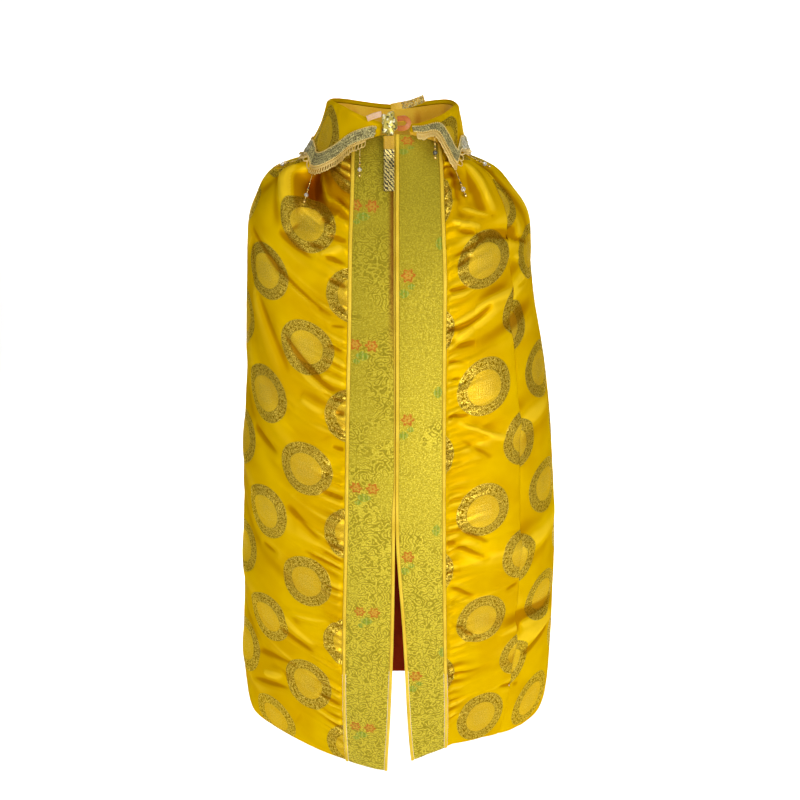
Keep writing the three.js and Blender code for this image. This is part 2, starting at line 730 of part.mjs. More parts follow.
function fringeGeometry() {
  const points = [];
  const triangles = [];
  for (let step = 0; step <= fringeStrands; step += 1) {
    points.push(...fringeCorners(step, 0, fringeClear), ...fringeCorners(step, fringeStripHeight, fringeClear));
  }
  const quad = (a, b, c, d) => triangles.push(a, b, c, a, c, d);
  for (let i = 0; i < fringeStrands; i += 1) {
    const here = i * 4;
    const there = here + 4;
    quad(here, here + 1, there + 1, there);
    quad(here, there, there + 2, here + 2);
    quad(here + 1, here + 3, there + 3, there + 1);
    const drop = fringeStripHeight + fringeLength;
    const [first, second] = [i, i + 1].map((step) => fringeCorners(step, drop, fringeClear)[0]);
    const tip = points.push(first.lerp(second, 0.5)) - 1;
    triangles.push(here + 2, there + 2, tip, there + 2, there + 3, tip);
    triangles.push(there + 3, here + 3, tip, here + 3, here + 2, tip);
  }
  const last = fringeStrands * 4;
  quad(0, 2, 3, 1);
  quad(last, last + 1, last + 3, last + 2);
  return solidGeometry(points, triangles);
}

function pendantGeometry({ place, length, size }) {
  const profile = pendantProfile.map(({ share, radius }) => (
    new THREE.Vector2(radius * size, -share * length)));
  return new THREE.LatheGeometry(profile.toReversed(), pendantSides);
}

function pendantMesh(row, name) {
  const down = fallPoint(row.place, 1).sub(fallPoint(row.place, 0.9)).normalize();
  const drop = fringeGap + fringeStripHeight + fringeLength + pendantGap;
  const start = hangFrom(fallPoint(row.place, 1), down, drop, beadLift);
  const end = downShoulders(start, row.length, beadLift);
  const mesh = meshOf(name, pendantGeometry(row), 'beads');
  mesh.position.copy(start);
  mesh.quaternion.setFromUnitVectors(new THREE.Vector3(0, -1, 0), end.sub(start).normalize());
  return mesh;
}

function knotGeometry() {
  const { x, y, z, halfWidth, halfDepth, halfHeight, lobes, lobeDepth } = knot;
  const geometry = new THREE.SphereGeometry(1, knotSides.round, knotSides.down);
  const place = geometry.getAttribute('position');
  for (let i = 0; i < place.count; i += 1) {
    const p = new THREE.Vector3().fromBufferAttribute(place, i);
    const lobe = 1 - lobeDepth * (1 - Math.cos(lobes * Math.atan2(p.z, p.x))) * Math.hypot(p.x, p.z);
    place.setXYZ(i, x + p.x * halfWidth * lobe, y + p.y * halfDepth * lobe, z + p.z * halfHeight * lobe);
  }
  return geometry;
}

function strapGeometry({ width, points }) {
  const curve = new THREE.CatmullRomCurve3(points.map((point) => new THREE.Vector3(...point)));
  const sections = evenShares(strapSteps).map((share) => {
    const centre = curve.getPoint(share);
    const along = curve.getTangent(share);
    const front = new THREE.Vector3(0, -1, 0);
    const across = along.clone().cross(front).normalize();
    const thick = across.clone().cross(along).normalize().multiplyScalar(strapWall / 2);
    across.multiplyScalar(width / 2);
    return [
      centre.clone().add(across).add(thick), centre.clone().add(across).sub(thick),
      centre.clone().sub(across).sub(thick), centre.clone().sub(across).add(thick),
    ];
  });
  return barGeometry(sections);
}

function meshOf(name, geometry, finish) {
  const mesh = new THREE.Mesh(geometry, new THREE.MeshStandardMaterial(finishes[finish]));
  mesh.name = name;
  return mesh;
}

const cloak = new THREE.Group();
cloak.add(
  meshOf('front_right', frontGeometry('right'), 'satin'),
  meshOf('front_left', frontGeometry('left'), 'satin'),
  meshOf('back', backGeometry(), 'satin'),
  meshOf('lining', liningGeometry(), 'lining'),
  meshOf('collar_stand', collarStandGeometry(), 'satin'),
  meshOf('collar_fall', collarFallGeometry(), 'satin'),
  meshOf('collar_braid', braidGeometry(), 'braid'),
  meshOf('collar_fringe', fringeGeometry(), 'braid'),
  meshOf('tie_knot', knotGeometry(), 'satin'),
);
for (const side of Object.keys(sides)) {
  cloak.add(
    meshOf(`band_${side}`, bandGeometry(side), 'band'),
    meshOf(`piping_${side}_inner`, pipingGeometry(side, 'inner'), 'piping'),
    meshOf(`piping_${side}_outer`, pipingGeometry(side, 'outer'), 'piping'),
  );
}
for (const [name, strap] of Object.entries(straps)) {
  cloak.add(meshOf(name, strapGeometry(strap), name === 'tie_tip' ? 'tipBrocade' : 'satin'));
}
pendants.forEach((row, i) => cloak.add(pendantMesh(row, `pendant_${String(i + 1).padStart(2, '0')}`)));

export default cloak;
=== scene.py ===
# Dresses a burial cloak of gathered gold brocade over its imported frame.
# The cloth is worked out in millimetres and turned to metres where a mesh is made.
import math

import bpy
import numpy as np
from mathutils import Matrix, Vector


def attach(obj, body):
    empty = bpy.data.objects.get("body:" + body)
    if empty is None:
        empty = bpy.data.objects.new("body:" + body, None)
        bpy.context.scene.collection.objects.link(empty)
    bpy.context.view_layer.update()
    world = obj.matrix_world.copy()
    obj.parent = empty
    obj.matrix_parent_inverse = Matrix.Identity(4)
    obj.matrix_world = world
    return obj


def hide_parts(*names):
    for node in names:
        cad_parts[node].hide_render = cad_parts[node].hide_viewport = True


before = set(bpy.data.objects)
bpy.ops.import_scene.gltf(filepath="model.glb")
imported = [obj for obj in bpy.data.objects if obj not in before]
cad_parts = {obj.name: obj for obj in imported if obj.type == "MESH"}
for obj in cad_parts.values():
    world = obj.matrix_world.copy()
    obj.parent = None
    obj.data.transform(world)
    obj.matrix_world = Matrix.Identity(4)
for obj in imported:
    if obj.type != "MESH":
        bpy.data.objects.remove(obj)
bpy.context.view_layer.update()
metre = 0.001  # one millimetre
degree = math.pi / 180
print("frame loaded:", len(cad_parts), "pieces")

# Camera, lights and floor

cameraSettings = {"place": (0.008, -1.4, -0.025), "pitchDown": 16.7, "lens": 34.785}

lights = {
    # name: (place, aim, size in metres, watts, colour)
    "keyLight": ((0.9, -2.9, -0.35), (0, 0, -0.62), 2.2, 74, (1.0, 0.99, 0.96)),
    "fillLight": ((-2.3, -1.9, -0.2), (0, 0, -0.6), 1.5, 9, (0.98, 0.99, 1.0)),
    "topLight": ((-0.3, -0.6, 2.3), (0, 0, -0.5), 1.0, 12, (1.0, 1.0, 1.0)),
    "backLight": ((0.0, 1.3, 0.7), (0, 3.8, -0.2), 2.2, 130, (1.0, 1.0, 1.0)),
    "floorLight": ((0.0, 1.4, -0.2), (0, 0.7, -1.42), 1.6, 44, (1.0, 1.0, 1.0)),
}

floorSettings = {"height": -1.42, "halfWidth": 6.0, "front": -5.0, "bend": 2.2, "radius": 1.6, "top": 4.5}


def setCamera():
    data = bpy.data.cameras.new("viewCamera")
    data.lens = cameraSettings["lens"]
    data.sensor_width = 36
    camera = bpy.data.objects.new("viewCamera", data)
    camera.location = cameraSettings["place"]
    camera.rotation_euler = ((90 - cameraSettings["pitchDown"]) * degree, 0, 0)
    bpy.context.scene.collection.objects.link(camera)
    bpy.context.scene.camera = camera


def setLights():
    for name, (place, aim, size, watts, colour) in lights.items():
        data = bpy.data.lights.new(name, "AREA")
        data.shape = "DISK"
        data.size = size
        data.energy = watts
        data.color = colour
        lamp = bpy.data.objects.new(name, data)
        lamp.location = place
        lamp.rotation_euler = (Vector(aim) - Vector(place)).to_track_quat("-Z", "Y").to_euler()
        bpy.context.scene.collection.objects.link(lamp)
    world = bpy.data.worlds.new("softRoom")
    world.use_nodes = True
    tree = world.node_tree
    sky = tree.nodes["Background"]
    heading = tree.nodes.new("ShaderNodeSeparateXYZ")
    tree.links.new(tree.nodes.new("ShaderNodeTexCoord").outputs["Generated"], heading.inputs[0])
    glow = tree.nodes.new("ShaderNodeMapRange")  # bright round the horizon, dim overhead
    tree.links.new(heading.outputs["Z"], glow.inputs["Value"])
    for socket, value in (("From Min", 0.0), ("From Max", 0.75), ("To Min", 0.34), ("To Max", 0.14)):
        glow.inputs[socket].default_value = value
    tree.links.new(glow.outputs["Result"], sky.inputs["Strength"])
    sky.inputs["Color"].default_value = (1.0, 1.0, 1.0, 1)
    bpy.context.scene.world = world
    bpy.context.scene.view_settings.view_transform = "Standard"


def setFloor():
    place = floorSettings
    profile = [(place["front"], place["height"])]
    for i in range(13):
        turn = i / 12 * math.pi / 2
        profile.append((
            place["bend"] + place["radius"] * math.sin(turn),
            place["height"] + place["radius"] * (1 - math.cos(turn)),
        ))
    profile.append((place["bend"] + place["radius"], place["top"]))
    points = [(x, y, z) for y, z in profile for x in (-place["halfWidth"], place["halfWidth"])]
    faces = [(2 * i, 2 * i + 1, 2 * i + 3, 2 * i + 2) for i in range(len(profile) - 1)]
    mesh = bpy.data.meshes.new("studioFloor")
    mesh.from_pydata(points, [], faces)
    mesh.polygons.foreach_set("use_smooth", [True] * len(faces))
    floor = bpy.data.objects.new("studioFloor", mesh)
    bpy.context.scene.collection.objects.link(floor)
    material = bpy.data.materials.new("paleFloor")
    material.use_nodes = True
    shader = material.node_tree.nodes["Principled BSDF"]
    shader.inputs["Base Color"].default_value = (0.97, 0.97, 0.97, 1)
    shader.inputs["Roughness"].default_value = 0.9
    mesh.materials.append(material)


setCamera()
setLights()
setFloor()
print("camera, lights and floor set")

# Materials

socketNames = {
    "metallic": "Metallic",
    "roughness": "Roughness",
    "anisotropic": "Anisotropic",
    "specular": "Specular IOR Level",
    "specularTint": "Specular Tint",
    "coat": "Coat Weight",
    "coatRoughness": "Coat Roughness",
    "transmission": "Transmission Weight",
    "ior": "IOR",
}


def newMaterial(name, **settings):
    material = bpy.data.materials.new(name)
    material.use_nodes = True
    shader = material.node_tree.nodes["Principled BSDF"]
    for key, value in settings.items():
        shader.inputs[socketNames[key]].default_value = value
    return material, material.node_tree, shader


def plug(tree, value, socket):
    if isinstance(value, bpy.types.NodeSocket):
        tree.links.new(value, socket)
    else:
        socket.default_value = value


def calc(tree, operation, first, second=None):
    node = tree.nodes.new("ShaderNodeMath")
    node.operation = operation
    for socket, value in zip(node.inputs, (first, second)):
        if value is not None:
            plug(tree, value, socket)
    return node.outputs[0]


def times(tree, first, second):
    return calc(tree, "MULTIPLY", first, second)


def plus(tree, first, second):
    return calc(tree, "ADD", first, second)


def minus(tree, first, second):
    return calc(tree, "SUBTRACT", first, second)


def larger(tree, first, second):
    return calc(tree, "MAXIMUM", first, second)


# Up and down again between 0 and a top, as the value grows.
def zigzag(tree, value, top):
    return calc(tree, "PINGPONG", value, top)


def ramp(tree, value, low, high):
    node = tree.nodes.new("ShaderNodeMapRange")
    node.interpolation_type = "SMOOTHSTEP"
    plug(tree, value, node.inputs["Value"])
    node.inputs["From Min"].default_value = low
    node.inputs["From Max"].default_value = high
    return node.outputs["Result"]


def between(tree, value, low, high, soft):
    rise = ramp(tree, value, low - soft, low + soft)
    fall = ramp(tree, value, high + soft, high - soft)
    return times(tree, rise, fall)


def mixColour(tree, factor, first, second):
    node = tree.nodes.new("ShaderNodeMix")
    node.data_type = "RGBA"
    plug(tree, factor, node.inputs[0])
    plug(tree, first, node.inputs[6])
    plug(tree, second, node.inputs[7])
    return node.outputs[2]


def mixNumber(tree, factor, first, second):
    node = tree.nodes.new("ShaderNodeMix")
    plug(tree, factor, node.inputs[0])
    plug(tree, first, node.inputs[2])
    plug(tree, second, node.inputs[3])
    return node.outputs[0]


def noise(tree, vector, scale, detail=2.0, stretch=None):
    if stretch is not None:
        mapping = tree.nodes.new("ShaderNodeMapping")
        mapping.inputs["Scale"].default_value = stretch
        plug(tree, vector, mapping.inputs["Vector"])
        vector = mapping.outputs[0]
    node = tree.nodes.new("ShaderNodeTexNoise")
    plug(tree, vector, node.inputs["Vector"])
    node.inputs["Scale"].default_value = scale
    node.inputs["Detail"].default_value = detail
    return node.outputs["Fac"]


def bump(tree, height, distance, strength):
    node = tree.nodes.new("ShaderNodeBump")
    node.inputs["Strength"].default_value = strength
    node.inputs["Distance"].default_value = distance
    plug(tree, height, node.inputs["Height"])
    return node.outputs["Normal"]


def clothMap(tree):
    node = tree.nodes.new("ShaderNodeUVMap")
    node.uv_map = "cloth"
    parts = tree.nodes.new("ShaderNodeSeparateXYZ")
    tree.links.new(node.outputs["UV"], parts.inputs[0])
    return node.outputs["UV"], parts.outputs["X"], parts.outputs["Y"]


def vectorOf(tree, x, y):
    node = tree.nodes.new("ShaderNodeCombineXYZ")
    for socket, value in zip(node.inputs, (x, y)):
        plug(tree, value, socket)
    return node.outputs[0]


def objectPlace(tree):
    return tree.nodes.new("ShaderNodeTexCoord").outputs["Object"]


# How deep the cloth lies at a point, which its mesh carries along; on the fronts it also holds painted shadow
# spots. Materials paint shade and highlight from it.
def paintedShadeDepth(tree):
    node = tree.nodes.new("ShaderNodeAttribute")
    node.attribute_name = "hollow"
    return node.outputs["Fac"]


# Vermicular scrolls: winding lines along the heights of a noise, 1 on a line and 0 off it.
def scrollLines(tree, vector, scale, turns, width, soft, detail):
    height = noise(tree, vector, scale, detail=detail)
    wave = zigzag(tree, times(tree, height, turns), 1.0)
    return ramp(tree, wave, width + soft, width - soft)


satinCloth = {
    "lit": (0.68, 0.425, 0.0, 1),
    "deep": (0.58, 0.330, 0.0, 1),
    "woven": (0.88, 0.65, 0.09, 1),
    "wovenDark": (0.40, 0.25, 0.012, 1),
    "ringGround": (0.17, 0.090, 0.0, 1),
    # painted shade colour for the hollows of the cloth
    "hollow": (0.34, 0.130, 0.0, 1),
    # painted shadow colour for the deepest hollows
    "deepest": (0.15, 0.020, 0.0, 1),
    # painted highlight colour for the raised cloth
    "ridge": (0.86, 0.58, 0.02, 1),
    "gloss": {"anisotropic": 0.3, "specular": 0.0, "specularTint": (1.0, 0.80, 0.25, 1)},
    "metallic": (0.13, 0.85),  # of the ground and of the woven thread
    "roughness": (0.38, 0.30),
    "across": 0.170,  # metres between medallions in a row
    "down": 0.222,
    "ringOuter": 0.0500,
    "ringInner": 0.0305,
    "lattice": 0.0160,
    "latticePitch": 0.0036,
}
medallionStep = satinCloth["across"] / metre  # in millimetres, as the meshes are
medallionDrop = satinCloth["down"] / metre


def makeSatin(name, medallions=True, bandGap=None):
    cloth = satinCloth
    material, tree, shader = newMaterial(
        name, metallic=cloth["metallic"][0], roughness=cloth["roughness"][0], **cloth["gloss"])
    _, across, down = clothMap(tree)
    x = times(tree, across, cloth["across"])
    y = times(tree, down, cloth["down"])
    flat = vectorOf(tree, x, y)
    mottle = noise(tree, flat, 9.0, detail=3)
    ground = mixColour(tree, ramp(tree, mottle, 0.35, 0.7), cloth["deep"], cloth["lit"])
    # Painted light from the hollow attribute: painted shade in hollows, painted shadow where it lies deepest,
    # a painted highlight on raised cloth.
    depth = paintedShadeDepth(tree)
    paintedHollowShade = times(tree, ramp(tree, depth, 0.05, 0.9), 0.8)
    raised = times(tree, ramp(tree, depth, -0.05, -0.9), 0.6)
    deepest = times(tree, ramp(tree, depth, 0.9, 2.0), 0.9)
    ground = mixColour(tree, raised, mixColour(tree, paintedHollowShade, ground, cloth["hollow"]), cloth["ridge"])
    ground = mixColour(tree, deepest, ground, cloth["deepest"])
    weave = noise(tree, flat, 1.0, detail=2, stretch=(900, 240, 1))
    slubs = noise(tree, flat, 1.0, detail=3, stretch=(60, 420, 1))
    height = plus(tree, times(tree, weave, 0.5), times(tree, slubs, 0.5))
    if not medallions:
        tree.links.new(ground, shader.inputs["Base Color"])
        tree.links.new(bump(tree, height, 0.00025, 0.5), shader.inputs["Normal"])
        return material
    offsets = []
    for shift in (0.0, 0.5):
        pair = []
        for coordinate, pitch in ((across, cloth["across"]), (down, cloth["down"])):
            moved = minus(tree, coordinate, shift)
            near = minus(tree, moved, calc(tree, "ROUND", moved))
            # Beside the left band the first column lies farther under it.
            if bandGap and coordinate is across and shift == 0:
                near = plus(tree, near, times(tree, calc(tree, "LESS_THAN", across, 0.5), bandGap))
            pair.append(times(tree, near, pitch))
        squares = [times(tree, part, part) for part in pair]
        pair.append(calc(tree, "SQRT", plus(tree, *squares)))
        offsets.append(pair)
    nearer = calc(tree, "LESS_THAN", offsets[0][2], offsets[1][2])
    dx, dy, radius = (mixNumber(tree, nearer, offsets[1][i], offsets[0][i]) for i in range(3))
    # The ring is a lace of winding lines between two plain rims.
    soft = 0.0006
    ring = between(tree, radius, cloth["ringInner"], cloth["ringOuter"], soft)
    rims = larger(tree,
        between(tree, radius, cloth["ringOuter"] - 0.0014, cloth["ringOuter"], soft),
        between(tree, radius, cloth["ringInner"], cloth["ringInner"] + 0.0012, soft))
    lace = scrollLines(tree, flat, 250.0, 7.0, 0.42, soft=0.16, detail=1.5)
    turn = calc(tree, "ARCTAN2", dy, dx)
    key = zigzag(tree, times(tree, turn, 26 / math.pi), 1.0)
    steps = zigzag(tree, times(tree, radius, 1 / 0.0040), 1.0)
    fret = ramp(tree, plus(tree, key, steps), 0.9, 1.15)
    ringLines = larger(tree, lace, times(tree, fret, 0.45))
    ringThread = times(tree, ring, larger(tree, times(tree, rims, 0.5), ringLines))
    # The disc is fine thread with a fret of nested squares in its middle.
    disc = ramp(tree, radius, cloth["ringInner"] + soft, cloth["ringInner"] - soft)
    reach = larger(tree, calc(tree, "ABSOLUTE", dx), calc(tree, "ABSOLUTE", dy))
    nested = ramp(tree, zigzag(tree, reach, cloth["latticePitch"] / 2), 0.0008, 0.0012)
    spokes = zigzag(tree, plus(tree, calc(tree, "ABSOLUTE", dx), 0.0018), cloth["latticePitch"])
    bars = ramp(tree, spokes, 0.0022, 0.0026)
    block = ramp(tree, reach, cloth["lattice"], cloth["lattice"] - soft)
    lattice = times(tree, block, larger(tree, nested, times(tree, bars, 0.6)))
    discTone = plus(tree, plus(tree, 0.30, times(tree, lace, 0.22)), times(tree, lattice, 0.30))
    discThread = times(tree, disc, discTone)
    thread = larger(tree, ringThread, discThread)
    sparkle = noise(tree, flat, 700.0, detail=1)
    woven = mixColour(tree, ramp(tree, sparkle, 0.35, 0.65), cloth["wovenDark"], cloth["woven"])
    # The ring's dark ground is the weave's own colour.
    ringBacking = mixColour(tree, times(tree, ring, 0.9), ground, cloth["ringGround"])
    # The thread gets the same painted shade in hollows.
    colour = mixColour(tree, thread, ringBacking, mixColour(tree, paintedHollowShade, woven, cloth["hollow"]))
    tree.links.new(colour, shader.inputs["Base Color"])
    tree.links.new(mixNumber(tree, thread, *cloth["metallic"]), shader.inputs["Metallic"])
    tree.links.new(mixNumber(tree, thread, *cloth["roughness"]), shader.inputs["Roughness"])
    grain = times(tree, times(tree, thread, sparkle), 2.2)
    relief = plus(tree, plus(tree, height, grain), times(tree, thread, 0.5))
    tree.links.new(bump(tree, relief, 0.00030, 0.6), shader.inputs["Normal"])
    return material


bandCloth = {
    "gold": (0.71, 0.575, 0.055, 1),
    "goldDeep": (0.42, 0.32, 0.012, 1),
    # painted shade colour for the top of the band
    "goldDull": (0.25, 0.19, 0.006, 1),
    "scroll": (0.19, 0.145, 0.004, 1),
    "blossom": (0.46, 0.085, 0.010, 1),
    "blossomLight": (0.55, 0.26, 0.03, 1),
    "leaf": (0.14, 0.25, 0.02, 1),
    "leafLight": (0.30, 0.38, 0.07, 1),
    "shade": (0.17, 0.045, 0.003, 1),
    "patches": {"right": (0.38, 0.50), "left": (0.56, 0.68)},  # where broad scrolls take over from fine ones
    "across": 0.085,
    "down": 0.244,
}
bandStep = bandCloth["across"] / metre

# Motifs of one repeat: distance from the opening edge and length down, in millimetres, and reach.
bandMotifs = {
    "right": {
        "blossoms": [(62, 0, 11.0), (36, 0, 11.5)],
        "leaves": [(50, 18, 12, 8), (60, 28, 6.5, 5)],
    },
    "left": {
        "blossoms": [(20, 0, 12.0)],
        "leaves": [(13, 27, 9.5, 7.5), (70, -46, 8, 11), (25, 17, 6.5, 5)],
    },
}


def makeBandCloth(side):
    cloth = bandCloth
    material, tree, shader = newMaterial(
        "bandBrocade" + side.capitalize(), specular=0.2, specularTint=(1.0, 0.85, 0.35, 1))
    _, across, down = clothMap(tree)
    x = times(tree, across, cloth["across"])
    y = times(tree, down, cloth["down"])
    flat = vectorOf(tree, x, y)
    near = minus(tree, down, calc(tree, "ROUND", down))
    yCell = times(tree, near, cloth["down"])
    broad = scrollLines(tree, flat, 92.0, 10.0, 0.40, soft=0.14, detail=0.5)
    fine = scrollLines(tree, flat, 210.0, 7.0, 0.44, soft=0.20, detail=1.5)
    patches = ramp(tree, noise(tree, flat, 11.0, detail=1), *cloth["patches"][side])
    patches = larger(tree, patches, ramp(tree, down, 2.5, 3.2))
    lines = mixNumber(tree, patches, times(tree, fine, 0.62), broad)
    glint = noise(tree, flat, 420.0, detail=2)
    gold = mixColour(tree, ramp(tree, glint, 0.3, 0.7), cloth["goldDeep"], cloth["gold"])
    paintedNeckShade = times(tree, ramp(tree, down, 2.5, 0.9), 0.44)  # painted shade: darker toward the neck
    gold = mixColour(tree, paintedNeckShade, gold, cloth["goldDull"])
    colour = mixColour(tree, times(tree, lines, 0.70), gold, cloth["scroll"])
    flower = None
    frayed = ramp(tree, noise(tree, flat, 330.0, detail=1), 0.30, 0.52)
    for px, py, reach in bandMotifs[side]["blossoms"]:
        dx = minus(tree, x, px * metre)
        dy = minus(tree, yCell, py * metre)
        radius = calc(tree, "SQRT", plus(tree, times(tree, dx, dx), times(tree, dy, dy)))
        turn = calc(tree, "ARCTAN2", dy, dx)
        petals = times(tree, calc(tree, "COSINE", times(tree, turn, 6.0)), 0.16)
        edge = times(tree, plus(tree, petals, 0.84), reach * metre)
        share = calc(tree, "DIVIDE", radius, edge)
        rings = zigzag(tree, times(tree, share, 2.6), 1.0)
        shape = ramp(tree, share, 1.05, 0.93)
        tone = mixColour(tree, ramp(tree, rings, 0.25, 0.75), cloth["blossom"], cloth["blossomLight"])
        colour = mixColour(tree, times(tree, times(tree, shape, frayed), 0.84), colour, tone)
        flower = shape if flower is None else larger(tree, flower, shape)
    for px, py, wide, tall in bandMotifs[side]["leaves"]:
        dx = calc(tree, "DIVIDE", minus(tree, x, px * metre), wide * metre)
        dy = calc(tree, "DIVIDE", minus(tree, yCell, py * metre), tall * metre)
        radius = plus(tree, times(tree, dx, dx), calc(tree, "ABSOLUTE", dy))
        shape = ramp(tree, radius, 1.05, 0.85)
        veins = ramp(tree, zigzag(tree, times(tree, dx, 3.0), 1.0), 0.2, 0.5)
        tone = mixColour(tree, veins, cloth["leafLight"], cloth["leaf"])
        colour = mixColour(tree, times(tree, times(tree, shape, frayed), 0.75), colour, tone)
        flower = larger(tree, flower, shape)
    if side == "right":  # the upper opening edge lies in the shade of the other band
        top = ramp(tree, down, 1.4, 0.4)
        shade = times(tree, ramp(tree, x, 0.013, 0.003), times(tree, top, 0.85))
        colour = mixColour(tree, shade, colour, cloth["shade"])
    tree.links.new(colour, shader.inputs["Base Color"])
    dull = larger(tree, lines, flower)
    tree.links.new(mixNumber(tree, dull, 0.30, 0.10), shader.inputs["Metallic"])
    tree.links.new(mixNumber(tree, dull, 0.50, 0.60), shader.inputs["Roughness"])
    height = minus(tree, times(tree, glint, 1.3), lines)
    tree.links.new(bump(tree, height, 0.00030, 0.7), shader.inputs["Normal"])
    return material


def makePlainCloth(name, colour, deep, scale=(700, 700, 700), sunk=None, **settings):
    material, tree, shader = newMaterial(name, **settings)
    place = objectPlace(tree)
    weave = noise(tree, place, 1.0, detail=2, stretch=scale)
    mottle = noise(tree, place, 24.0, detail=3)
    tone = plus(tree, times(tree, weave, 0.4), times(tree, mottle, 0.6))
    colour = mixColour(tree, ramp(tree, tone, 0.35, 0.65), deep, colour)
    # painted shade in the hollows, from the hollow attribute
    if sunk is not None:
        colour = mixColour(tree, ramp(tree, paintedShadeDepth(tree), 0.0, 0.9), colour, sunk)
    tree.links.new(colour, shader.inputs["Base Color"])
    tree.links.new(bump(tree, weave, 0.00025, 0.6), shader.inputs["Normal"])
    return material


satin = makeSatin("goldSatin")
satinLeft = makeSatin("goldSatinLeft", bandGap=0.115)
plainSatin = makeSatin("plainSatin", medallions=False)
bandBrocade = {side: makeBandCloth(side) for side in ("right", "left")}
pipingSatin = makePlainCloth(
    "pipingSatin", (0.80, 0.56, 0.05, 1), (0.66, 0.43, 0.025, 1),
    roughness=0.5, specular=0.08)
redLining = makePlainCloth(
    "redLining", (0.27, 0.022, 0.001, 1), (0.17, 0.011, 0.001, 1),
    roughness=0.75, specular=0.04)
# The stand's last colour is painted shade for the troughs of its gathers.
standSatin = makePlainCloth(
    "standSatin", (0.98, 0.62, 0.05, 1), (0.90, 0.47, 0.02, 1), scale=(900, 900, 200),
    sunk=(0.62, 0.16, 0.004, 1), roughness=0.42, specular=0.15)
braidCloth = makePlainCloth(
    "braidCloth", (0.36, 0.32, 0.13, 1), (0.09, 0.07, 0.02, 1), scale=(420, 420, 420),
    roughness=0.5, metallic=0.2, specular=0.3)
fringeThread = makePlainCloth(
    "fringeThread", (0.90, 0.68, 0.24, 1), (0.60, 0.40, 0.09, 1), scale=(1500, 1500, 1500),
    roughness=0.45, metallic=0.2, specular=0.4)
print("cloths mixed:", len(bpy.data.materials))


def makeGloss(name, colour, deep, scale, **settings):
    material, tree, shader = newMaterial(name, **settings)
    place = objectPlace(tree)
    tone = noise(tree, place, scale, detail=2)
    tree.links.new(mixColour(tree, ramp(tree, tone, 0.35, 0.65), deep, colour), shader.inputs["Base Color"])
    tree.links.new(bump(tree, tone, 0.0001, 0.4), shader.inputs["Normal"])
    return material


sequinGloss = makeGloss(
    "sequinGloss", (0.66, 0.57, 0.22, 1), (0.10, 0.080, 0.02, 1), 620, metallic=0.2, roughness=0.38)
goldBead = makeGloss(
    "goldBead", (0.80, 0.56, 0.16, 1), (0.42, 0.26, 0.05, 1), 300, metallic=0.9, roughness=0.22)
darkBead = makeGloss(
    "darkBead", (0.16, 0.15, 0.10, 1), (0.05, 0.05, 0.04, 1), 300, metallic=0.4, roughness=0.16)
clearBead = makeGloss(
    "clearBead", (0.85, 0.85, 0.80, 1), (0.70, 0.70, 0.64, 1), 200,
    roughness=0.06, transmission=0.7, ior=1.5, coat=0.5, coatRoughness=0.04)

tipCloth = {"gold": (0.78, 0.62, 0.20, 1), "black": (0.045, 0.032, 0.007, 1), "pitch": 0.0034}


def makeTipBrocade():
    cloth = tipCloth
    material, tree, shader = newMaterial("tipBrocade", roughness=0.38, specular=0.5)
    uv, across, down = clothMap(tree)
    slant = plus(tree, times(tree, across, 1.15), down)
    wander = times(tree, noise(tree, uv, 260.0, detail=2), 0.012)
    stripe = zigzag(tree, plus(tree, slant, wander), cloth["pitch"])
    dark = ramp(tree, stripe, cloth["pitch"] * 0.42, cloth["pitch"] * 0.56)
    tree.links.new(mixColour(tree, dark, cloth["gold"], cloth["black"]), shader.inputs["Base Color"])
    tree.links.new(mixNumber(tree, dark, 0.7, 0.05), shader.inputs["Metallic"])
    tree.links.new(bump(tree, stripe, 0.12, 0.5), shader.inputs["Normal"])
    return material


tipBrocade = makeTipBrocade()


# A gold brocade with dark gaps and painted pale glints, that is painted highlights, for the knot of the tie.
def makeKnotBrocade():
    material, tree, shader = newMaterial("knotBrocade", roughness=0.34, specular=0.4)
    place = objectPlace(tree)
    gaps = ramp(tree, noise(tree, place, 260.0, detail=2), 0.50, 0.38)
    # painted highlights: pale glint spots mixed into the colour
    paintedGlints = ramp(tree, noise(tree, place, 190.0, detail=2), 0.54, 0.64)
    gold = mixColour(tree, noise(tree, place, 60.0), (0.42, 0.36, 0.05, 1), (0.74, 0.58, 0.13, 1))
    colour = mixColour(tree, gaps, gold, (0.10, 0.085, 0.015, 1))
    tree.links.new(mixColour(tree, paintedGlints, colour, (0.92, 0.86, 0.55, 1)), shader.inputs["Base Color"])
    tree.links.new(mixNumber(tree, gaps, 0.4, 0.1), shader.inputs["Metallic"])
    tree.links.new(bump(tree, paintedGlints, 0.0006, 0.6), shader.inputs["Normal"])
    return material


knotBrocade = makeKnotBrocade()
# The strap's pale tone is partly its own colour and partly a painted highlight over golden satin.
paleSatin = makePlainCloth(
    "paleSatin", (0.66, 0.46, 0.36, 1), (0.60, 0.33, 0.06, 1), roughness=0.35, specular=0.4)
orangeSatin = makePlainCloth(
    "orangeSatin", (0.50, 0.15, 0.02, 1), (0.34, 0.045, 0.004, 1), roughness=0.32, specular=0.5)
goldenSatin = makePlainCloth(
    "goldenSatin", (0.60, 0.36, 0.015, 1), (0.40, 0.21, 0.006, 1), roughness=0.38, specular=0.3)

# The form of the body, as the frame has it

def tableOf(columns, rows):
    return dict(zip(columns, np.array(rows, float).T))


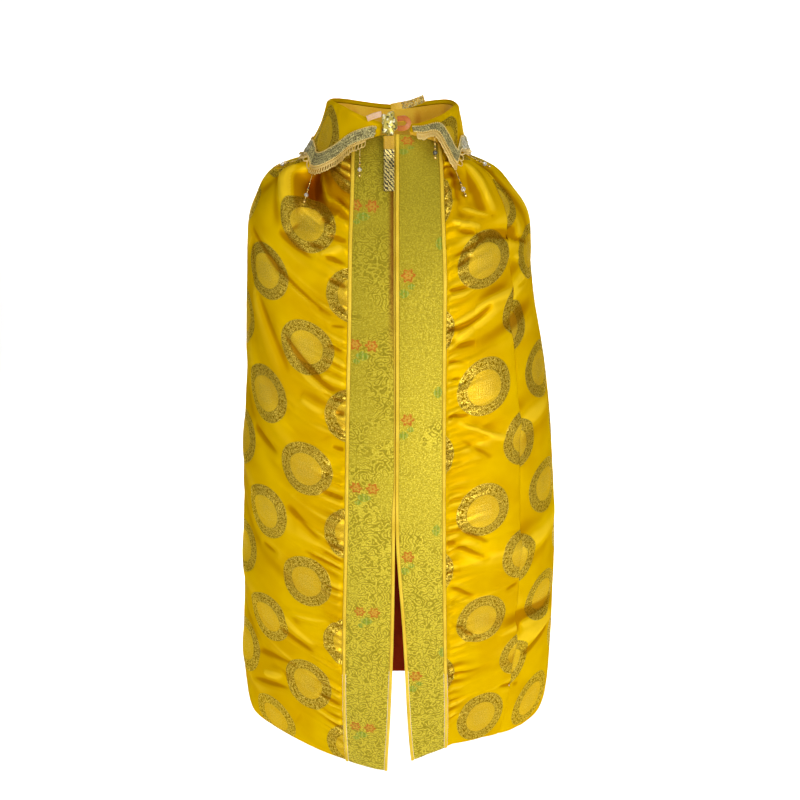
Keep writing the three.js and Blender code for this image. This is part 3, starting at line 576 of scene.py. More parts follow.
rings = tableOf(
    ["frontZ", "sideZ", "backZ", "rightHalf", "leftHalf", "frontDepth", "backDepth", "square",
     "rightOuter", "rightInner", "leftInner", "leftOuter", "joinAngle"],
    [
        [27, 4, 12, 97, 95, 80, 74, 0, 72, 0.5, 0.5, 76, 76],
        [-42, -20, -14, 196, 161, 102, 104, 0.02, 72, 0.5, 0.5, 79, 68],
        [-90, -48, -55, 226, 193, 122, 132, 0.05, 73, 0.5, 0.5, 80, 60],
        [-145, -93, -110, 254, 225, 140, 150, 0.07, 75, 0.5, 0.5, 82, 55],
        [-205, -147, -170, 262, 236, 154, 161, 0.08, 76, 0.5, 0.5, 84, 52],
        [-292, -235, -265, 267, 249, 166, 169, 0.08, 78, 0.5, 0.5, 84, 50],
        [-440, -400, -425, 278, 281, 177, 175, 0.08, 83, 0.5, 0.5, 85, 47],
        [-640, -608, -630, 294, 306, 181, 177, 0.07, 89, 0.5, 0.6, 88, 45],
        [-840, -805, -825, 305, 316, 178, 178, 0.04, 97, 3.5, 13, 93, 45],
        [-1020, -980, -1000, 316, 319, 172, 176, -0.04, 101, 10, 21.5, 99, 45],
        [-1110, -1075, -1095, 315, 315, 168, 168, -0.12, 100, 15, 28, 100, 45],
        [-1150, -1118, -1157, 309, 307, 165, 160, -0.2, 99, 16.5, 34, 100, 45],
    ],
)
lastRing = len(rings["frontZ"]) - 1
foldRadius = 240

# How much shorter than the last ring the cloth is cut at the hem, by the angle from the front.
hemLines = {
    "right": {0: 0, 10: 2, 24: 9, 60: 8, 85: 0},
    "left": {0: 16, 6: 25, 15: 39, 25: 51, 37: 41, 45: 26, 52: 12, 62: 0},
}

folds = tableOf(
    ["fromAngle", "fromLength", "toAngle", "toLength", "height", "width", "bow"],
    [
        [-90, 150, -64, 95, 7, 20, 0],
        [-62, 90, -40, 190, 12, 16, 0],
        [-50, 85, -24, 165, -17, 22, 0],
        [-74, 200, -17, 455, 12, 20, 55],
        [-68, 240, -24, 420, -11, 20, 50],
        [-64, 300, -20, 520, 9, 22, 40],
        [-70, 390, -22, 590, 10, 24, 35],
        [-84, 450, -34, 640, -7, 26, 20],
        [-86, 570, -22, 740, 8, 26, 25],
        [-84, 700, -24, 850, -7, 26, 20],
        [-88, 810, -24, 930, 8, 28, 25],
        [-86, 930, -30, 1060, -7, 28, 15],
        [-88, 1040, -40, 1140, 6, 28, 15],
        [50, 70, 47, 175, 9, 16, 0],
        [36, 80, 28, 170, -9, 16, 0],
        [62, 215, 34, 195, -7, 14, 0],
        [20, 335, 68, 285, 8, 20, 0],
        [20, 375, 72, 340, -6, 20, 0],
        [20, 560, 76, 520, 7, 24, -10],
        [20, 770, 80, 740, 8, 26, 10],
        [20, 880, 78, 930, -6, 24, 15],
        [20, 990, 80, 960, 8, 28, -10],
        [76, 110, 84, 280, 6, 22, 0],
        [112, 90, 108, 360, 8, 26, 0],
        [128, 120, 134, 480, -9, 28, 0],
        [150, 100, 156, 620, 9, 30, 0],
        [176, 110, 172, 540, -8, 30, 0],
        [198, 100, 204, 660, 9, 30, 0],
        [220, 110, 214, 420, -9, 26, 0],
        [242, 100, 244, 380, 8, 24, 0],
        [104, 480, 150, 760, 8, 30, 20],
        [120, 700, 182, 980, -8, 32, 20],
        [244, 520, 196, 800, 8, 30, 20],
        [232, 760, 176, 1040, -8, 32, 20],
        [104, 880, 150, 1100, 8, 32, 15],
    ],
)

# Narrow creases on top of the large folds, in the same columns.
creases = tableOf(
    ["fromAngle", "fromLength", "toAngle", "toLength", "height", "width", "bow"],
    [
        [-72, 96, -54, 128, 2.4, 7, 0],
        [-58, 88, -44, 165, 3.5, 6, 0],
        [-46, 82, -34, 150, -3.5, 6, 0],
        [-40, 84, -26, 140, 2.6, 5, 0],
        [-29, 160, -22, 174, -3.0, 4, 0],
        [-24, 186, -16, 193, -3.2, 4, 0],
        [-47, 200, -28, 228, -4.0, 8, 0],
        [-33, 205, -24, 209, -3.0, 5, 0],
        [-26, 218, -18, 202, 3.0, 5, 0],
        [-25, 217, -16, 228, -3.2, 4, 0],
        [-68, 214, -21, 310, -5.0, 8, 0],
        [-46, 262, -26, 304, 3.4, 5, 0],
        [-23, 251, -16, 262, -4.2, 5, 0],
        [-60, 314, -38, 434, -4.0, 10, -8],
        [-22, 326, -16, 326, -3.0, 4, 0],
        [-23, 356, -16, 370, -4.2, 5, 0],
        [-42, 362, -17, 456, -6.5, 7, 5],
        [-42, 378, -23, 446, 3.6, 5, 4],
        [-20, 482, -16, 482, -3.0, 4, 0],
        [-33, 466, -23, 488, 4.0, 10, 0],
        [-21, 543, -16, 549, -3.0, 4, 0],
        [-63, 558, -44, 586, -3.2, 10, 0],
        [-25, 630, -16, 641, -4.0, 5, 0],
        [-39, 672, -25, 726, -3.4, 8, 0],
        [-32, 748, -17, 777, -2.6, 5, 4],
        [-30, 764, -17, 792, -2.4, 5, 4],
        [-55, 774, -44, 782, -2.8, 9, 0],
        [-43, 896, -28, 946, 3.8, 7, 0],
        [-40, 893, -21, 887, 2.0, 4, 0],
        [-45, 930, -29, 964, -3.2, 9, 0],
        [-64, 1036, -33, 1008, -3.2, 10, -8],
        [-57, 1068, -44, 1046, 4.0, 9, 0],
        [-66, 1100, -40, 1068, -3.4, 8, 0],
        [-29, 1054, -19, 1070, -3.8, 5, 0],
        [49, 84, 48, 150, 3.2, 4, 0],
        [30, 146, 46, 176, 3.0, 4, 0],
        [24, 166, 38, 184, 2.8, 4, 0],
        [25, 180, 40, 202, -2.8, 5, 0],
        [22, 220, 39, 202, -4.2, 5, 0],
        [45, 206, 72, 246, -4.6, 4, 0],
        [23, 236, 31, 223, -4.2, 5, 0],
        [49, 244, 65, 266, 2.6, 4, 0],
        [18, 268, 28, 268, -2.8, 4, 0],
        [50, 302, 64, 300, -2.6, 4, 0],
        [30, 308, 50, 303, 4.2, 6, -5],
        [18, 336, 38, 308, -6.5, 7, 5],
        [20, 351, 29, 338, 3.2, 6, 0],
        [20, 358, 30, 364, -2.8, 6, 0],
        [18, 388, 26, 394, -2.4, 4, 0],
        [17, 420, 23, 420, -3.2, 4, 0],
        [17, 486, 25, 490, -2.8, 4, 0],
        [20, 500, 40, 552, 2.8, 5, 0],
        [21, 530, 33, 578, -2.8, 7, 0],
        [19, 698, 31, 738, -2.8, 6, 0],
        [15, 718, 31, 770, -3.6, 7, 0],
        [16, 806, 26, 842, -3.2, 6, 0],
        [38, 846, 45, 838, -2.2, 6, 0],
        [17, 880, 29, 938, -3.0, 7, 0],
        [36, 940, 70, 952, 4.2, 8, -10],
        [50, 1012, 69, 980, -4.2, 9, 0],
        [38, 1056, 50, 1078, -2.8, 6, 0],
        [98, 80, 104, 190, 2.8, 7, 0],
        [138, 92, 142, 220, -2.6, 7, 0],
        [164, 88, 168, 240, 2.8, 7, 0],
        [188, 92, 190, 210, -2.6, 7, 0],
        [212, 90, 216, 230, 2.8, 7, 0],
        [232, 95, 236, 190, -2.4, 6, 0],
        [110, 420, 140, 520, 2.4, 9, 12],
        [150, 560, 196, 640, -2.4, 9, 14],
        [236, 430, 206, 560, 2.4, 9, 12],
        [118, 820, 160, 900, 2.4, 10, 10],
        [226, 900, 190, 1010, -2.4, 10, 10],
    ],
)
neckPleats = {"count": 12, "height": 4.5, "start": 15, "full": 60, "fade": 120, "end": 230}

puckers = {
    "right": {
        "count": 56, "from": 60, "to": 1190, "height": 4.6, "slope": 0.42, "panelWidth": 330, "phase": 0.4,
    },
    "left": {
        "count": 54, "from": 60, "to": 1165, "height": 4.1, "slope": 0.2, "panelWidth": 150, "phase": 2.1,
    },
}
clothWall = 2
seamGap = 0.3
edgeFade = 36
rightSeamAngle = -100
sides = {
    "right": {"sign": -1, "inner": "rightInner", "outer": "rightOuter"},
    "left": {"sign": 1, "inner": "leftInner", "outer": "leftOuter"},
}


def smooth(value):
    part = np.clip(value, 0, 1)
    return part ** 2 * (3 - 2 * part)


def rowAt(table, place):
    last = len(next(iter(table.values()))) - 1
    at = np.clip(place, 0, last - 1e-9)
    i = np.floor(at).astype(int)
    t = at - i
    row = {}
    for name, column in table.items():
        a, b = column[np.maximum(i - 1, 0)], column[i]
        c, d = column[i + 1], column[np.minimum(i + 2, last)]
        row[name] = 0.5 * (
            2 * b + (c - a) * t + (2 * a - 5 * b + 4 * c - d) * t ** 2 + (3 * b - a - 3 * c + d) * t ** 3)
    return row


def stacked(*parts):
    return np.stack(np.broadcast_arrays(*parts), axis=-1)


def unit(vectors):
    return vectors / np.maximum(np.linalg.norm(vectors, axis=-1, keepdims=True), 1e-9)


def bodyPoint(angle, ring):
    row = rowAt(rings, ring)
    across, forward = np.sin(angle), np.cos(angle)
    half = np.where(across < 0, row["rightHalf"], row["leftHalf"])
    depth = np.where(forward > 0, row["frontDepth"], row["backDepth"])
    endZ = np.where(forward > 0, row["frontZ"], row["backZ"])
    return stacked(
        half * across * (1 + row["square"] * forward ** 2),
        -depth * forward * (1 + row["square"] * across ** 2),
        row["sideZ"] + (endZ - row["sideZ"]) * forward ** 2)


def bodyNormal(angle, ring):
    step = 0.01
    low = np.minimum(ring, lastRing - step)
    around = bodyPoint(angle + step, ring) - bodyPoint(angle - step, ring)
    down = bodyPoint(angle, low + step) - bodyPoint(angle, np.maximum(low - step, 0))
    return -unit(np.cross(around, down))


# A point at a height over the plain form. Where sideways is 0 it stays in its own upright plane.
def clothPoint(angle, ring, height, sideways=1.0):
    angle, ring, height, sideways = np.broadcast_arrays(angle, ring, height, sideways)
    normal = bodyNormal(angle, ring)
    upright = normal * np.array([0, 1, 1])
    upright = upright / np.sum(upright ** 2, axis=-1, keepdims=True)
    heading = upright + (normal - upright) * sideways[..., None]
    return bodyPoint(angle, ring) + heading * height[..., None]


ringSteps = np.arange(lastRing * 20 + 1) / 20
sideLine = bodyPoint(-60 * degree, ringSteps)
ringLengths = np.concatenate([[0], np.cumsum(np.linalg.norm(np.diff(sideLine, axis=0), axis=1))])


def lengthAt(ring):
    return np.interp(ring, ringSteps, ringLengths)


def ringAt(length):
    return np.interp(length, ringLengths, ringSteps)


def angleAtX(x, ring):
    x, ring = np.broadcast_arrays(np.asarray(x, float), np.asarray(ring, float))
    sign = np.sign(x)
    low, high = np.zeros(x.shape), np.full(x.shape, math.pi / 2)
    for _ in range(30):
        middle = (low + high) / 2
        short = np.abs(bodyPoint(sign * middle, ring)[..., 0]) < np.abs(x)
        low, high = np.where(short, middle, low), np.where(short, high, middle)
    return sign * low


def foldsOf(table, angle, length, sharp=2.0):
    height = np.zeros(np.broadcast(angle, length).shape)
    for i in range(len(table["height"])):
        fold = {name: column[i] for name, column in table.items()}
        middle = (fold["fromAngle"] + fold["toAngle"]) / 2 * degree
        across = foldRadius * np.arctan2(np.sin(angle - middle), np.cos(angle - middle))
        along = length - (fold["fromLength"] + fold["toLength"]) / 2
        runX = foldRadius * (fold["toAngle"] - fold["fromAngle"]) * degree
        runY = fold["toLength"] - fold["fromLength"]
        run = math.hypot(runX, runY)
        part = np.clip((across * runX + along * runY) / run ** 2 + 0.5, 0, 1)
        off = np.hypot(
            across - (part - 0.5) * runX,
            along - (part - 0.5) * runY - fold["bow"] * 4 * part * (1 - part))
        swell = np.maximum(np.sin(math.pi * part), 0) ** 0.7
        height += fold["height"] * swell * np.exp(-((off / fold["width"]) ** sharp))
    return height


def foldHeight(angle, ring):
    length = lengthAt(ring)
    pleats = neckPleats
    reach = smooth((length - pleats["start"]) / (pleats["full"] - pleats["start"]))
    reach = reach * smooth((pleats["end"] - length) / (pleats["end"] - pleats["fade"]))
    wave = np.cos(pleats["count"] * angle + 0.7 * np.sin(2 * angle))
    return foldsOf(folds, angle, length) + pleats["height"] * reach * wave


# What the eye sees over the large folds: creases, a crimp near the neck seam and slack cloth.
def fineFolds(angle, ring):
    length = lengthAt(ring)
    around = foldRadius * angle
    fine = foldsOf(creases, angle, length, sharp=1.5)
    crimp = np.cos(31 * angle + 1.3 * np.sin(5 * angle)) * smooth((110 - length) / 90)
    slack = (
        0.55 * np.sin(around / 31 + length / 83 + 1.7 * np.sin(length / 140))
        + 0.45 * np.sin(around / 19 - length / 57 + 1.3 * np.sin(around / 70))
        + 0.30 * np.sin(length / 23 + 2.1 * np.sin(around / 48)))
    return fine + 1.1 * crimp * smooth(length / 14) + 0.8 * slack * smooth(length / 60)


def hemLift(angle):
    lift = [
        np.interp(np.abs(angle) / degree, list(hemLines[side].keys()), list(hemLines[side].values()))
        for side in ("right", "left")]
    return np.where(np.asarray(angle) < 0, *lift)


# The ring at a share of the way down the threads of the cloth that end at an angle of the hem.
def ringAtShare(share, hemAngle):
    return ringAt(share * (lengthAt(lastRing) - hemLift(hemAngle)))


print("form worked out, length down the side", round(float(ringLengths[-1])), "mm")


# Meshes

def quadFaces(rows, columns, start=0, flip=False):
    i, j = np.meshgrid(np.arange(rows - 1), np.arange(columns - 1), indexing="ij")
    a = start + i * columns + j
    corners = [a, a + 1, a + columns + 1, a + columns]
    if flip:
        corners.reverse()
    return np.stack(corners, axis=-1).reshape(-1, 4).tolist()


def makeObject(name, points, faces, materials, uv=None, materialOf=None, sharp=50, hollow=None):
    mesh = bpy.data.meshes.new(name)
    mesh.from_pydata((np.asarray(points).reshape(-1, 3) * metre).tolist(), [], faces)
    for material in materials:
        mesh.materials.append(material)
    if materialOf is not None:
        mesh.polygons.foreach_set("material_index", materialOf)
    if uv is not None:
        corners = np.empty(len(mesh.loops), int)
        mesh.loops.foreach_get("vertex_index", corners)
        layer = mesh.uv_layers.new(name="cloth")
        layer.data.foreach_set("uv", np.asarray(uv, float).reshape(-1, 2)[corners].ravel())
    # the depth that materials paint shade and highlight from
    if hollow is not None:
        mesh.attributes.new("hollow", "FLOAT", "POINT").data.foreach_set("value", hollow)
    mesh.polygons.foreach_set("use_smooth", [True] * len(mesh.polygons))
    mesh.update()
    mesh.set_sharp_from_angle(angle=sharp * degree)
    piece = bpy.data.objects.new(name, mesh)
    bpy.context.scene.collection.objects.link(piece)
    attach(piece, "root")
    return piece


# Six times the volume inside closed faces, or below 0 where they face inward.
def signedVolume(points, faces):
    total = 0.0
    for size in {len(face) for face in faces}:
        corners = points[np.array([face for face in faces if len(face) == size])]
        for k in range(1, size - 1):
            total += np.sum(corners[:, 0] * np.cross(corners[:, k], corners[:, k + 1]))
    return total


# A cloth shell: a fine outer face, an inner face on every second row and column, and a rim.
def makeShell(name, outer, inner, uv, materials, hollow=None):
    rows, columns = outer.shape[:2]
    innerRows, innerColumns = inner.shape[:2]
    points = np.concatenate([outer.reshape(-1, 3), inner.reshape(-1, 3)])
    start = rows * columns
    faces = quadFaces(rows, columns)
    outerCount = len(faces)
    faces += quadFaces(innerRows, innerColumns, start, flip=True)
    innerCount = len(faces) - outerCount
    stepR = (rows - 1) // (innerRows - 1)
    stepC = (columns - 1) // (innerColumns - 1)

    def rim(outerLine, innerLine, step, flip):
        for k in range(len(innerLine) - 1):
            face = list(outerLine[k * step:(k + 1) * step + 1]) + [innerLine[k + 1], innerLine[k]]
            faces.append(face[::-1] if flip else face)

    outerAt = np.arange(start).reshape(rows, columns)
    innerAt = (start + np.arange(innerRows * innerColumns)).reshape(innerRows, innerColumns)
    rim(outerAt[0].tolist(), innerAt[0].tolist(), stepC, True)
    rim(outerAt[-1].tolist(), innerAt[-1].tolist(), stepC, False)
    rim(outerAt[:, 0].tolist(), innerAt[:, 0].tolist(), stepR, False)
    rim(outerAt[:, -1].tolist(), innerAt[:, -1].tolist(), stepR, True)
    if signedVolume(points, faces) < 0:
        faces = [face[::-1] for face in faces]
    uvs = np.concatenate([uv.reshape(-1, 2), uv[::stepR, ::stepC].reshape(-1, 2)])
    rimCount = len(faces) - outerCount - innerCount
    materialOf = [0] * outerCount + [min(1, len(materials) - 1)] * innerCount + [0] * rimCount
    if hollow is not None:
        hollow = np.concatenate([hollow.ravel(), np.zeros(innerRows * innerColumns)])
    return makeObject(name, points, faces, materials, uvs, materialOf, hollow=hollow)


# How far each point lies below the cloth round it, in shares of a depth in millimetres.
def hollowness(height, reach=5, depth=1.6):
    window = 2 * reach + 1
    around = np.lib.stride_tricks.sliding_window_view(np.pad(height, reach, mode="edge"), (window, window))
    return np.clip((around.mean(axis=(-1, -2)) - height) / depth, -1, 1)


# Painted shade added to the depth of the cloth: a painted shadow under the collar and painted shade in two
# hollows over the hem.
shades = tableOf(
    ["angle", "length", "wide", "long", "depth"],
    [
        [-39, 104, 24, 30, 2.1],
        [-29, 106, 24, 30, 1.5],
        [-22, 136, 20, 30, 1.0],
        [35, 92, 24, 28, 1.3],
        [25, 990, 44, 22, 0.6],
        [52, 1010, 40, 20, 0.5],
    ],
)


def shadeAt(angle, length):
    depth = np.zeros(np.broadcast(angle, length).shape)
    for i in range(len(shades["depth"])):
        place = {name: column[i] for name, column in shades.items()}
        across = foldRadius * (angle - place["angle"] * degree)
        depth += place["depth"] * np.exp(
            -(across / place["wide"]) ** 2 - ((length - place["length"]) / place["long"]) ** 2)
    return depth


# The place in a woven pattern at a length, from marks that say where each repeat lies.
def patternPlace(marks, length):
    steps, lengths = np.array(list(marks.keys()), float), np.array(list(marks.values()), float)
    before = steps[0] + (length - lengths[0]) * (steps[1] - steps[0]) / (lengths[1] - lengths[0])
    after = steps[-1] + (length - lengths[-1]) * (steps[-1] - steps[-2]) / (lengths[-1] - lengths[-2])
    inside = np.interp(length, lengths, steps)
    return np.where(length < lengths[0], before, np.where(length > lengths[-1], after, inside))


# The fronts

frontCloth = {
    "right": {
        "rows": 421, "nearColumns": 48, "farColumns": 78, "nearWidth": 72, "firstColumn": -14,
        "medallions": {
            -0.5: 176, 0: 273, 0.5: 373, 1: 484, 1.5: 596, 2: 703, 2.5: 818, 3: 924, 3.5: 1038, 4: 1170,
        },
    },
    "left": {
        "rows": 421, "nearColumns": 48, "farColumns": 30, "nearWidth": 66, "firstColumn": -17,
        "medallions": {
            0: 132, 0.5: 240, 1: 327, 1.5: 450, 2: 553, 2.5: 678, 3: 774, 3.5: 898, 4: 988, 4.5: 1118,
        },
    },
}


def puckerRise(side, share, distance):
    pucker = puckers[side]
    whole = lengthAt(lastRing)
    k = np.arange(pucker["count"])
    step = k + 0.5 + 0.24 * np.sin(2.4 * k + pucker["phase"])
    crest = pucker["from"] + (pucker["to"] - pucker["from"]) * step / pucker["count"]
    height = pucker["height"] * (1 + 0.4 * np.sin(1.7 * k + pucker["phase"]))
    reach = 40 + 18 * np.sin(3.3 * k + pucker["phase"])
    drag = 1 + 0.9 * np.maximum(0, np.sin(2.9 * k + 2 * pucker["phase"])) ** 3
    hollow = np.concatenate([[pucker["from"]], (crest[1:] + crest[:-1]) / 2, [pucker["to"]]])
    ends = smooth(share * whole / 80) * smooth((1 - share) * whole / 80)
    wobble = 2.2 * np.sin(distance / 13 + share * 60)
    at = share * whole + ends * pucker["slope"] * distance + wobble * smooth(distance / 20)
    i = np.clip(np.searchsorted(hollow, at) - 1, 0, pucker["count"] - 1)
    below = (at - hollow[i]) / (crest[i] - hollow[i])
    above = (hollow[i + 1] - at) / (hollow[i + 1] - crest[i])
    part = np.clip(np.minimum(below, above), 0, 1)
    shape = (0.5 - 0.5 * np.cos(math.pi * part)) ** 1.25
    root = 0.4 + 0.6 * smooth(distance / 6)
    inside = (at > hollow[0]) & (at < hollow[-1])
    short = 0.68 * smooth(1.15 - distance / reach[i])
    fade = short + 0.32 * smooth(1.2 - distance / (reach[i] * 2.2 * drag[i]))
    return np.where(inside, height[i] * root * shape * fade, 0)


def joinAngleAt(share):
    return rowAt(rings, ringAtShare(share, math.pi))["joinAngle"] * degree


gapAngle = seamGap / 2 / foldRadius


# The angle and ring of a place of the front, at a share of the way down and across from the band.
def frontPlace(side, share, across):
    sign, outer = sides[side]["sign"], sides[side]["outer"]

    def bandEdge(ring):
        return angleAtX(sign * (rowAt(rings, ring)[outer] + seamGap), ring)

    def seam(part):
        return rightSeamAngle * degree + gapAngle if side == "right" else joinAngleAt(part) - gapAngle

    hemStart = bandEdge(lastRing)
    hemAngle = hemStart + (seam(1.0) - hemStart) * across
    start = bandEdge(ringAtShare(share, hemStart))
    return start + (seam(share) - start) * across, ringAtShare(share, hemAngle)


# The length along each row of the plain form, from its first point.
def arcAcross(angle, ring):
    lengths = np.cumsum(np.linalg.norm(np.diff(bodyPoint(angle, ring), axis=1), axis=-1), axis=1)
    return np.concatenate([np.zeros((len(lengths), 1)), lengths], axis=1)


# How far the outer face turns in at a seam or hem, from the distance to it.
def seamDip(distance, depth=0.9, width=5):
    return -depth * np.exp(-np.abs(distance) / width)


def makeFront(side):
    panel = frontCloth[side]
    width = puckers[side]["panelWidth"]
    whole = lengthAt(lastRing)
    near = np.linspace(0, panel["nearWidth"], panel["nearColumns"] + 1)
    far = np.linspace(panel["nearWidth"], width, panel["farColumns"] + 1)[1:]
    fromBand = np.concatenate([near, far])
    share = np.linspace(0, 1, panel["rows"])[:, None]
    across = (fromBand / width)[None, :]
    angle, ring = frontPlace(side, share, across)
    fade = smooth(fromBand / edgeFade)[None, :]
    base = foldHeight(angle, ring) * fade
    fine = fineFolds(angle, ring) * smooth(fromBand / 4)[None, :]
    rise = puckerRise(side, share, fromBand[None, :])
    dip = seamDip(width - fromBand)[None, :] + seamDip((1 - share) * whole, 0.7, 3)
    outer = clothPoint(angle, ring, base + fine + rise + dip, fade)
    inner = clothPoint(angle, ring, base + fine - clothWall, fade)[::2, ::2]
    arc = arcAcross(angle, ring)
    down = patternPlace(panel["medallions"], lengthAt(ring))
    uv = stacked((arc - panel["firstColumn"]) / medallionStep, down)
    name = "front" + side.capitalize()
    # Painted shade from the hollows of the folds and part of the puckers, with the painted shadows of the
    # shades table.
    soft = 0.3 + 0.25 * np.sin(7 * share * math.pi + across * 9)
    sunk = hollowness(base + fine + rise * soft) + shadeAt(angle, lengthAt(ring))
    cloth = satinLeft if side == "left" else satin
    piece = makeShell(name, outer, inner, uv, [cloth, redLining], hollow=np.clip(sunk, -1, 2.2))
    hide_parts("front_" + side)
    print(name, "made:", len(piece.data.polygons), "faces")
    return piece


frontRight = makeFront("right")
frontLeft = makeFront("left")

# The back

backCloth = {
    "rows": 301, "columns": 181, "firstColumn": -15, "lining": (11 / 28, 21 / 28, 16 / 34),
    "medallions": {0.5: 262, 1: 360, 1.5: 456, 2: 570, 2.5: 668, 3: 792, 3.5: 900, 4: 1008, 4.5: 1146},
}


def backPlace(share, across):
    def angleAt(part):
        start = joinAngleAt(part) + gapAngle
        return start + ((360 + rightSeamAngle) * degree - gapAngle - start) * across

    return angleAt(share), ringAtShare(share, angleAt(1.0))


def makeBack():
    panel = backCloth
    whole = lengthAt(lastRing)
    share = np.linspace(0, 1, panel["rows"])[:, None]
    across = np.linspace(0, 1, panel["columns"])[None, :]
    angle, ring = backPlace(share, across)
    arc = arcAcross(angle, ring)
    base = foldHeight(angle, ring)
    edges = seamDip(arc) + seamDip(arc[:, -1:] - arc) + seamDip((1 - share) * whole, 0.7, 3)
    fine = fineFolds(angle, ring) * smooth(arc / 18) * smooth((arc[:, -1:] - arc) / 18)
    outer = clothPoint(angle, ring, base + fine + edges)
    inner = clothPoint(angle, ring, base + fine - clothWall)[::2, ::2]
    down = patternPlace(panel["medallions"], lengthAt(ring))
    uv = stacked((arc - panel["firstColumn"]) / medallionStep, down)
    # The hollows of the folds get painted shade.
    piece = makeShell("backPanel", outer, inner, uv, [satin, redLining], hollow=hollowness(base + fine))
    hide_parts("back")
    print("backPanel made:", len(piece.data.polygons), "faces")
    return piece


def makeLining():
    fromAcross, toAcross, fromShare = backCloth["lining"]
    share = np.linspace(fromShare, 1, 141)[:, None]
    across = np.linspace(fromAcross, toAcross, 81)[None, :]
    angle, ring = backPlace(share, across)
    base = foldHeight(angle, ring) - clothWall - seamGap
    around = foldRadius * angle
    ripple = 0.35 * np.sin(around / 14 + 2 * np.sin(share * 19)) * np.ones_like(share)
    outer = clothPoint(angle, ring, base)
    inner = clothPoint(angle, ring, base - 1 + ripple)
    uv = stacked(angle, share * np.ones_like(angle))
    piece = makeShell("backLining", inner, outer, uv, [redLining])
    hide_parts("lining")
    return piece


backPanel = makeBack()
backLining = makeLining()

# The bands and their pipings

bandShape = {
    "rows": 421, "columns": 25, "lift": 0.6, "wall": 2.4,
    "repeats": {
        "right": {0: 135, 1: 352, 2: 616, 3: 857, 4: 1110},
        "left": {0: 13, 1: 238, 2: 487, 3: 746, 4: 991},
    },
}
pipingShape = {"width": 6.2, "rise": 2.2, "sides": 12, "rows": 421, "pinch": 0.14}
tuck = {"width": 1.8, "rise": 0.8, "from": 590, "to": 680}


# The angle and ring a part of the way from the band's inner edge to its outer one, plus an offset.
def stripPlace(side, share, part, offset):
    edges = sides[side]

    def away(row):
        return row[edges["inner"]] + (row[edges["outer"]] - row[edges["inner"]]) * part + offset

    hemAngle = angleAtX(edges["sign"] * away(rowAt(rings, lastRing)), lastRing)
    ring = ringAtShare(share, hemAngle)
    x = np.maximum(away(rowAt(rings, ring)), seamGap)
    return angleAtX(edges["sign"] * x, ring), ring


# Above the slit the right band's inner piping is tucked behind the left one.
def innerPiping(side, share):
    shown = smooth((share * lengthAt(lastRing) - tuck["from"]) / (tuck["to"] - tuck["from"]))
    if side == "left":
        shown = np.ones_like(shown)
    return tuple(tuck[key] + (pipingShape[key] - tuck[key]) * shown for key in ("width", "rise"))


def makeBand(side):
    shape = bandShape
    edges = sides[side]
    share = np.linspace(0, 1, shape["rows"])[:, None]
    row = rowAt(rings, share * lastRing)
    width = row[edges["outer"]] - row[edges["inner"]]
    part = np.linspace(0, 1, shape["columns"])[None, :]
    start = innerPiping(side, share)[0] + seamGap
    offset = start + (-pipingShape["width"] - seamGap - start) * part
    across = width * part + offset
    crown = 0.5 * (1 - (2 * part - 1) ** 6) - 0.4
    length = share * lengthAt(lastRing)
    wave = 0.45 * np.sin(length / 17 + 3 * part) * np.sin(length / 61) + 0.35 * np.sin(length / 43 + 2 * part)
    tug = 0.5 * np.sin(length / 5.2 + 1.5 * np.sin(length / 47)) * smooth(1 - (width - across) / 16)
    height = shape["lift"] + crown + wave * (4 * part * (1 - part)) + tug * 0.5
    angle, ring = stripPlace(side, share, part, offset)
    outer = clothPoint(angle, ring, height, 0.0)
    inner = clothPoint(angle, ring, shape["lift"] - shape["wall"], 0.0)[::2, ::2]
    uv = stacked(across / bandStep, patternPlace(shape["repeats"][side], lengthAt(ring)))
    piece = makeShell("band" + side.capitalize(), outer, inner, uv, [bandBrocade[side], redLining])
    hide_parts("band_" + side)
    return piece


# The faces round a row of sections, with a cap at each end.
def barFaces(count, size):
    faces = []
    for i in range(count - 1):
        for j in range(size):
            k = (j + 1) % size
            faces.append([i * size + j, i * size + k, (i + 1) * size + k, (i + 1) * size + j])
    faces.append(list(range(size))[::-1])
    faces.append([(count - 1) * size + j for j in range(size)])
    return faces


def makeBar(name, sections, materials, uv=None):
    points = sections.reshape(-1, 3)
    faces = barFaces(*sections.shape[:2])
    if signedVolume(points, faces) < 0:
        faces = [face[::-1] for face in faces]
    return makeObject(name, points, faces, materials, uv, sharp=60)


def makePiping(side, edge):
    shape = pipingShape
    share = np.linspace(0, 1, shape["rows"])[:, None]
    turn = np.linspace(0, 2 * math.pi, shape["sides"] + 1)[None, :-1]
    length = share * lengthAt(lastRing)
    pinch = 1 - shape["pinch"] * (0.5 + 0.5 * np.sin(length / 1.9 + 2.2 * np.sin(length / 31)))
    width, rise = innerPiping(side, share) if edge == "inner" else (shape["width"], shape["rise"])
    offset = width / 2 * (np.cos(turn) + (1 if edge == "inner" else -1))
    half = (rise + clothWall) / 2
    height = (rise - clothWall) / 2 + half * np.sin(turn) * np.where(np.sin(turn) > 0, pinch, 1)
    sections = clothPoint(*stripPlace(side, share, 0 if edge == "inner" else 1, offset), height, 0.0)
    name = "piping" + side.capitalize() + edge.capitalize()
    piece = makeBar(name, sections, [pipingSatin])
    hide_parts("piping_" + side + "_" + edge)
    return piece


bands = {side: makeBand(side) for side in sides}
pipings = [makePiping(side, edge) for side in sides for edge in ("inner", "outer")]
print("bands and pipings made")

# The collar

